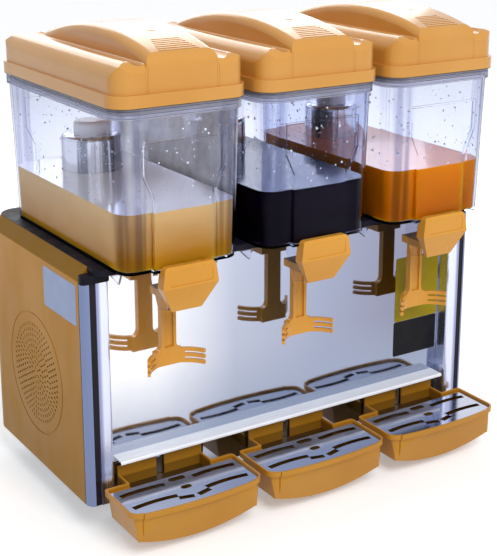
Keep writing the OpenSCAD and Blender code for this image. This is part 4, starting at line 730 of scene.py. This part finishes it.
def return_spring(side):
    """The coil over a tap lever, taken from its CAD node as one piece on the tank."""
    node = side + "_tap_spring"
    bm = bmesh.new()
    bm.from_mesh(nodes[node].data)
    piece = keep(side + "_return_spring", mesh_of(side + "_return_spring", bm), side + "_tank",
                 FINISHES["spring_steel"], smooth=60)
    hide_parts(node)
    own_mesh(piece)


# Bare plates, and strips down the seams

PLATE_T, PLATE_RIM, PLATE_R = 0.0005, 0.0002, 0.003
SEAM_Y, SEAM_Z, SEAM_W, SEAM_PROUD = -0.0994, (0.0415, 0.3365), 0.0014, 0.0003


def plate(name, middle, across, w, h, finish):
    """A thin plate with round corners and a bevelled rim, upright on the surface that carries it."""
    across, up, middle = Vector(across), Vector((0.0, 0.0, 1.0)), Vector(middle)
    out = across.cross(up)
    bm = bmesh.new()
    loops = []
    for inset, rise in ((0.0, 0.0), (0.0, PLATE_T - PLATE_RIM), (PLATE_RIM, PLATE_T)):
        flat = round_corners(w - 2 * inset, h - 2 * inset, PLATE_R - inset, arc=5)
        loops.append([bm.verts.new(middle + across * a + up * b + out * rise) for a, b in flat])
    for low, high in zip(loops, loops[1:]):
        wall_between(bm, low, high)
    bm.faces.new(loops[-1])
    bm.faces.new(reversed(loops[0]))
    keep(name, mesh_of(name, bm), "cabinet", finish, smooth=40)


def plates():
    """One plate on the left side panel, and two on the right of the front panel."""
    plate("side_plate", (-SIDE_X, -0.043, 0.3045), (0.0, -1.0, 0.0), 0.096, 0.053,
          printed("lavender_plate", shown(158, 174, 212), shown(170, 184, 218)))
    plate("front_plate_upper", (0.2325, PANEL_Y, 0.2285), (1.0, 0.0, 0.0), 0.079, 0.097,
          printed("olive_plate", shown(158, 138, 16), shown(166, 146, 28)))
    plate("front_plate_lower", (0.2315, PANEL_Y, 0.1530), (1.0, 0.0, 0.0), 0.079, 0.053,
          printed("black_plate", shown(14, 13, 18), shown(26, 25, 32)))


def seam_strip(side, out, arc=6):
    """A soft black strip down the seam between a side panel and its post, half round across."""
    bm = bmesh.new()
    ends = []
    for z in SEAM_Z:
        end = []
        for k in range(arc + 1):
            a = math.pi * k / arc
            x = out * (SIDE_X + SEAM_PROUD * math.sin(a))
            end.append(bm.verts.new((x, SEAM_Y - SEAM_W / 2 * math.cos(a), z)))
        ends.append(end)
    wall_between(bm, ends[0], ends[1])
    bm.faces.new(ends[0])
    bm.faces.new(ends[1])
    keep(side + "_seam", mesh_of(side + "_seam", bm), "cabinet", FINISHES["gasket_rubber"], smooth=50)


# Marks of the controls on the back

INK_T = 0.0001
DIAL_TICKS, DIAL_SWEEP = 15, 270
TICK_OUT, DIGIT_OUT, DIGIT_H = 0.0042, 0.0102, 0.0062
TURNED_TO_THE_BACK = Matrix(((-1, 0, 0, 0), (0, 0, 1, 0), (0, 1, 0, 0), (0, 0, 0, 1)))
MARK_INSET, MARK_SUNK, MARK_T = 0.0052, 0.0008, 0.0009
BAR_R, BAR_LENGTH = 0.0006, 0.0034
RING_R, RING_BORE_R = 0.0018, 0.0012


def tick_tree(finish):
    """Printed bars that point the way of their points, as round a dial."""
    g = Growth("ticks")
    size = g.vector(g.size("Width", 0.0010), g.size("Height", 0.0002), g.size("Length", 0.0040))
    bar = g.node("GeometryNodeMeshCube", {"Size": size}).outputs["Mesh"]
    placed = g.node("GeometryNodeInstanceOnPoints", {"Points": g.start.outputs["Geometry"], "Instance": bar,
                                                     "Rotation": g.facing()})
    g.finish(placed.outputs[0], finish)
    return g


def digit(text, place, finish):
    """A number as a mesh that lies flat on the rear panel."""
    name = "dial_digit_" + text
    curve = bpy.data.curves.new(name, "FONT")
    curve.body, curve.size, curve.extrude = text, DIGIT_H, INK_T
    curve.align_x, curve.align_y = "CENTER", "CENTER"
    curve.resolution_u = 3
    holder = bpy.data.objects.new(name + "_curve", curve)
    bpy.context.scene.collection.objects.link(holder)
    mesh = bpy.data.meshes.new_from_object(holder.evaluated_get(bpy.context.evaluated_depsgraph_get()))
    bpy.data.objects.remove(holder)
    mesh.transform(Matrix.Translation(place) @ TURNED_TO_THE_BACK)
    mesh.name = name
    keep(name, mesh, "cabinet", finish)


def dial(tree, finish):
    """Ticks round the thermostat knob, with a number at every other one."""
    low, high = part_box("thermostat_knob")
    middle = Vector(((low[0] + high[0]) / 2, REAR_Y + INK_T, (low[2] + high[2]) / 2))
    radius = (high[0] - low[0]) / 2
    ways = []
    for k in range(DIAL_TICKS):
        turn = math.radians(DIAL_SWEEP * (k / (DIAL_TICKS - 1) - 0.5))
        ways.append(Vector((-math.sin(turn), 0.0, math.cos(turn))))
    places = [(middle + way * (radius + TICK_OUT), way) for way in ways]
    tree.grow("dial_ticks", points_facing("tick_places", places), "cabinet")
    for number, way in enumerate(ways[::2]):
        digit(str(number), middle + way * (radius + DIGIT_OUT), finish)


def long_ring(r, length, count=20):
    """Outline of a bar with round ends, or of a ring where it has no length."""
    outline = []
    for k in range(count):
        a = 2 * math.pi * k / count
        end = length / 2 if 0 < k < count / 2 else -length / 2
        outline.append((r * math.cos(a), r * math.sin(a) + end))
    return outline


def rocker_marks(node, body, finish):
    """A bar and a ring on the two ends of a rocker."""
    low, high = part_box(node)
    x, y = (low[0] + high[0]) / 2, high[1] - MARK_SUNK
    bar_z, ring_z = high[2] - MARK_INSET, low[2] + MARK_INSET
    bm = bmesh.new()

    def verts_of(outline, z):
        return [bm.verts.new((x - a, y, z + b)) for a, b in outline]

    bm.faces.new(verts_of(long_ring(BAR_R, BAR_LENGTH), bar_z))
    wall_between(bm, verts_of(long_ring(RING_R, 0.0), ring_z), verts_of(long_ring(RING_BORE_R, 0.0), ring_z))
    solid = bmesh.ops.extrude_face_region(bm, geom=bm.faces[:])
    risen = [part for part in solid["geom"] if isinstance(part, bmesh.types.BMVert)]
    bmesh.ops.translate(bm, vec=(0.0, MARK_T, 0.0), verts=risen)
    keep(node + "_marks", mesh_of(node + "_marks", bm), body, finish)


# Stage, light and camera

FLOOR_SIZE, FLOOR_NEAR, FLOOR_FAR = 14.0, 0.8, 2.5
LAMP_AIM = (0.0, 0.0, 0.33)
WORLD_GLOW = 0.48
IMAGE_H = 556
FOCAL_PIXELS, SHIFT_PIXELS, SENSOR = 1257.9, -78.0, 36.0
CAMERA_AT, CAMERA_TILT, CAMERA_TURN = (-0.9135, -1.4227, 0.8309), -15.16, -32.66


def pale_floor():
    """A floor that brightens to white away from the machine, also where steel and clear plastic show it."""
    bm = bmesh.new()
    bmesh.ops.create_grid(bm, x_segments=2, y_segments=2, size=FLOOR_SIZE)
    mesh = raw_mesh_of("floor", bm)
    floor = bpy.data.objects.new("floor", mesh)
    bpy.context.scene.collection.objects.link(floor)
    f = Finish("pale_floor", IOR=1.4, Specular_IOR_Level=0.2, Emission_Color=(1.0, 1.0, 1.0, 1.0))
    path = f.node("ShaderNodeLightPath").outputs
    seen = f.maths("MAXIMUM", path["Is Camera Ray"], path["Is Glossy Ray"])
    seen = f.maths("MAXIMUM", seen, path["Is Transmission Ray"])
    glow = f.spread(f.length(f.place), 0.30, 0.50, FLOOR_NEAR, FLOOR_FAR)
    f.feed("Emission Strength", f.times(seen, glow))
    drift = f.spread(f.noise(1.5, 2.0), 0.0, 1.0)
    f.feed("Base Color", f.blend(drift, (0.93, 0.93, 0.935, 1.0), (0.92, 0.92, 0.925, 1.0)))
    f.feed("Roughness", f.spread(f.noise(5.0, 2.0), 0.75, 0.85))
    mesh.materials.append(f.material)


def lamp(name, at, width, height, watts):
    light = bpy.data.lights.new(name, "AREA")
    light.shape = "RECTANGLE"
    light.size, light.size_y, light.energy = width, height, watts
    holder = bpy.data.objects.new(name, light)
    holder.location = at
    holder.rotation_euler = (Vector(LAMP_AIM) - Vector(at)).to_track_quat("-Z", "Y").to_euler()
    bpy.context.scene.collection.objects.link(holder)


def studio_world():
    """A soft glow all round, which the camera, steel and clear plastic see as white."""
    world = bpy.data.worlds.new("studio")
    world.use_nodes = True
    tree = world.node_tree
    tree.nodes.clear()
    path = tree.nodes.new("ShaderNodeLightPath").outputs
    seen = path["Is Camera Ray"]
    for kind in ("Is Transmission Ray", "Is Glossy Ray"):
        either = tree.nodes.new("ShaderNodeMath")
        either.operation = "MAXIMUM"
        tree.links.new(seen, either.inputs[0])
        tree.links.new(path[kind], either.inputs[1])
        seen = either.outputs[0]
    mix = tree.nodes.new("ShaderNodeMixShader")
    tree.links.new(seen, mix.inputs[0])
    for socket, colour, strength in ((1, (0.96, 0.98, 1.0, 1.0), WORLD_GLOW), (2, (1.0, 1.0, 1.0, 1.0), 1.0)):
        light = tree.nodes.new("ShaderNodeBackground")
        light.inputs["Color"].default_value = colour
        light.inputs["Strength"].default_value = strength
        tree.links.new(light.outputs[0], mix.inputs[socket])
    out = tree.nodes.new("ShaderNodeOutputWorld")
    tree.links.new(mix.outputs[0], out.inputs["Surface"])
    bpy.context.scene.world = world


def camera():
    data = bpy.data.cameras.new("camera")
    data.sensor_width = SENSOR
    data.lens = FOCAL_PIXELS * SENSOR / IMAGE_H
    data.shift_y = SHIFT_PIXELS / IMAGE_H
    data.clip_start, data.clip_end = 0.05, 60.0
    holder = bpy.data.objects.new("camera", data)
    holder.location = CAMERA_AT
    holder.rotation_euler = (math.radians(90 + CAMERA_TILT), 0.0, math.radians(CAMERA_TURN))
    bpy.context.scene.collection.objects.link(holder)
    bpy.context.scene.camera = holder


camera()
pale_floor()
lamp("key", (-0.4, -2.4, 2.6), 1.6, 1.6, 64.0)
lamp("sheen", (0.7, 2.0, 1.5), 2.4, 1.2, 18.0)
studio_world()
dress_cad()
drop_growth = drop_tree(drop_water())
for side, x in SIDES.items():
    juice(side, x)
    drops(side, x, drop_growth)
    frost(side, x, drop_growth)
    return_spring(side)
screws(screw_tree(galvanised("screw_zinc", shown(196, 198, 206))))
black_ink = printed("black_ink", shown(28, 28, 32), shown(44, 44, 48))
dial(tick_tree(black_ink), black_ink)
white_ink = printed("white_ink", shown(226, 226, 228), shown(206, 206, 210))
rocker_marks("power_rocker", "power_switch", white_ink)
rocker_marks("stir_rocker", "stir_switch", white_ink)
plates()
seam_strip("left", -1)
seam_strip("right", 1)

bpy.context.scene.view_settings.view_transform = "Standard"
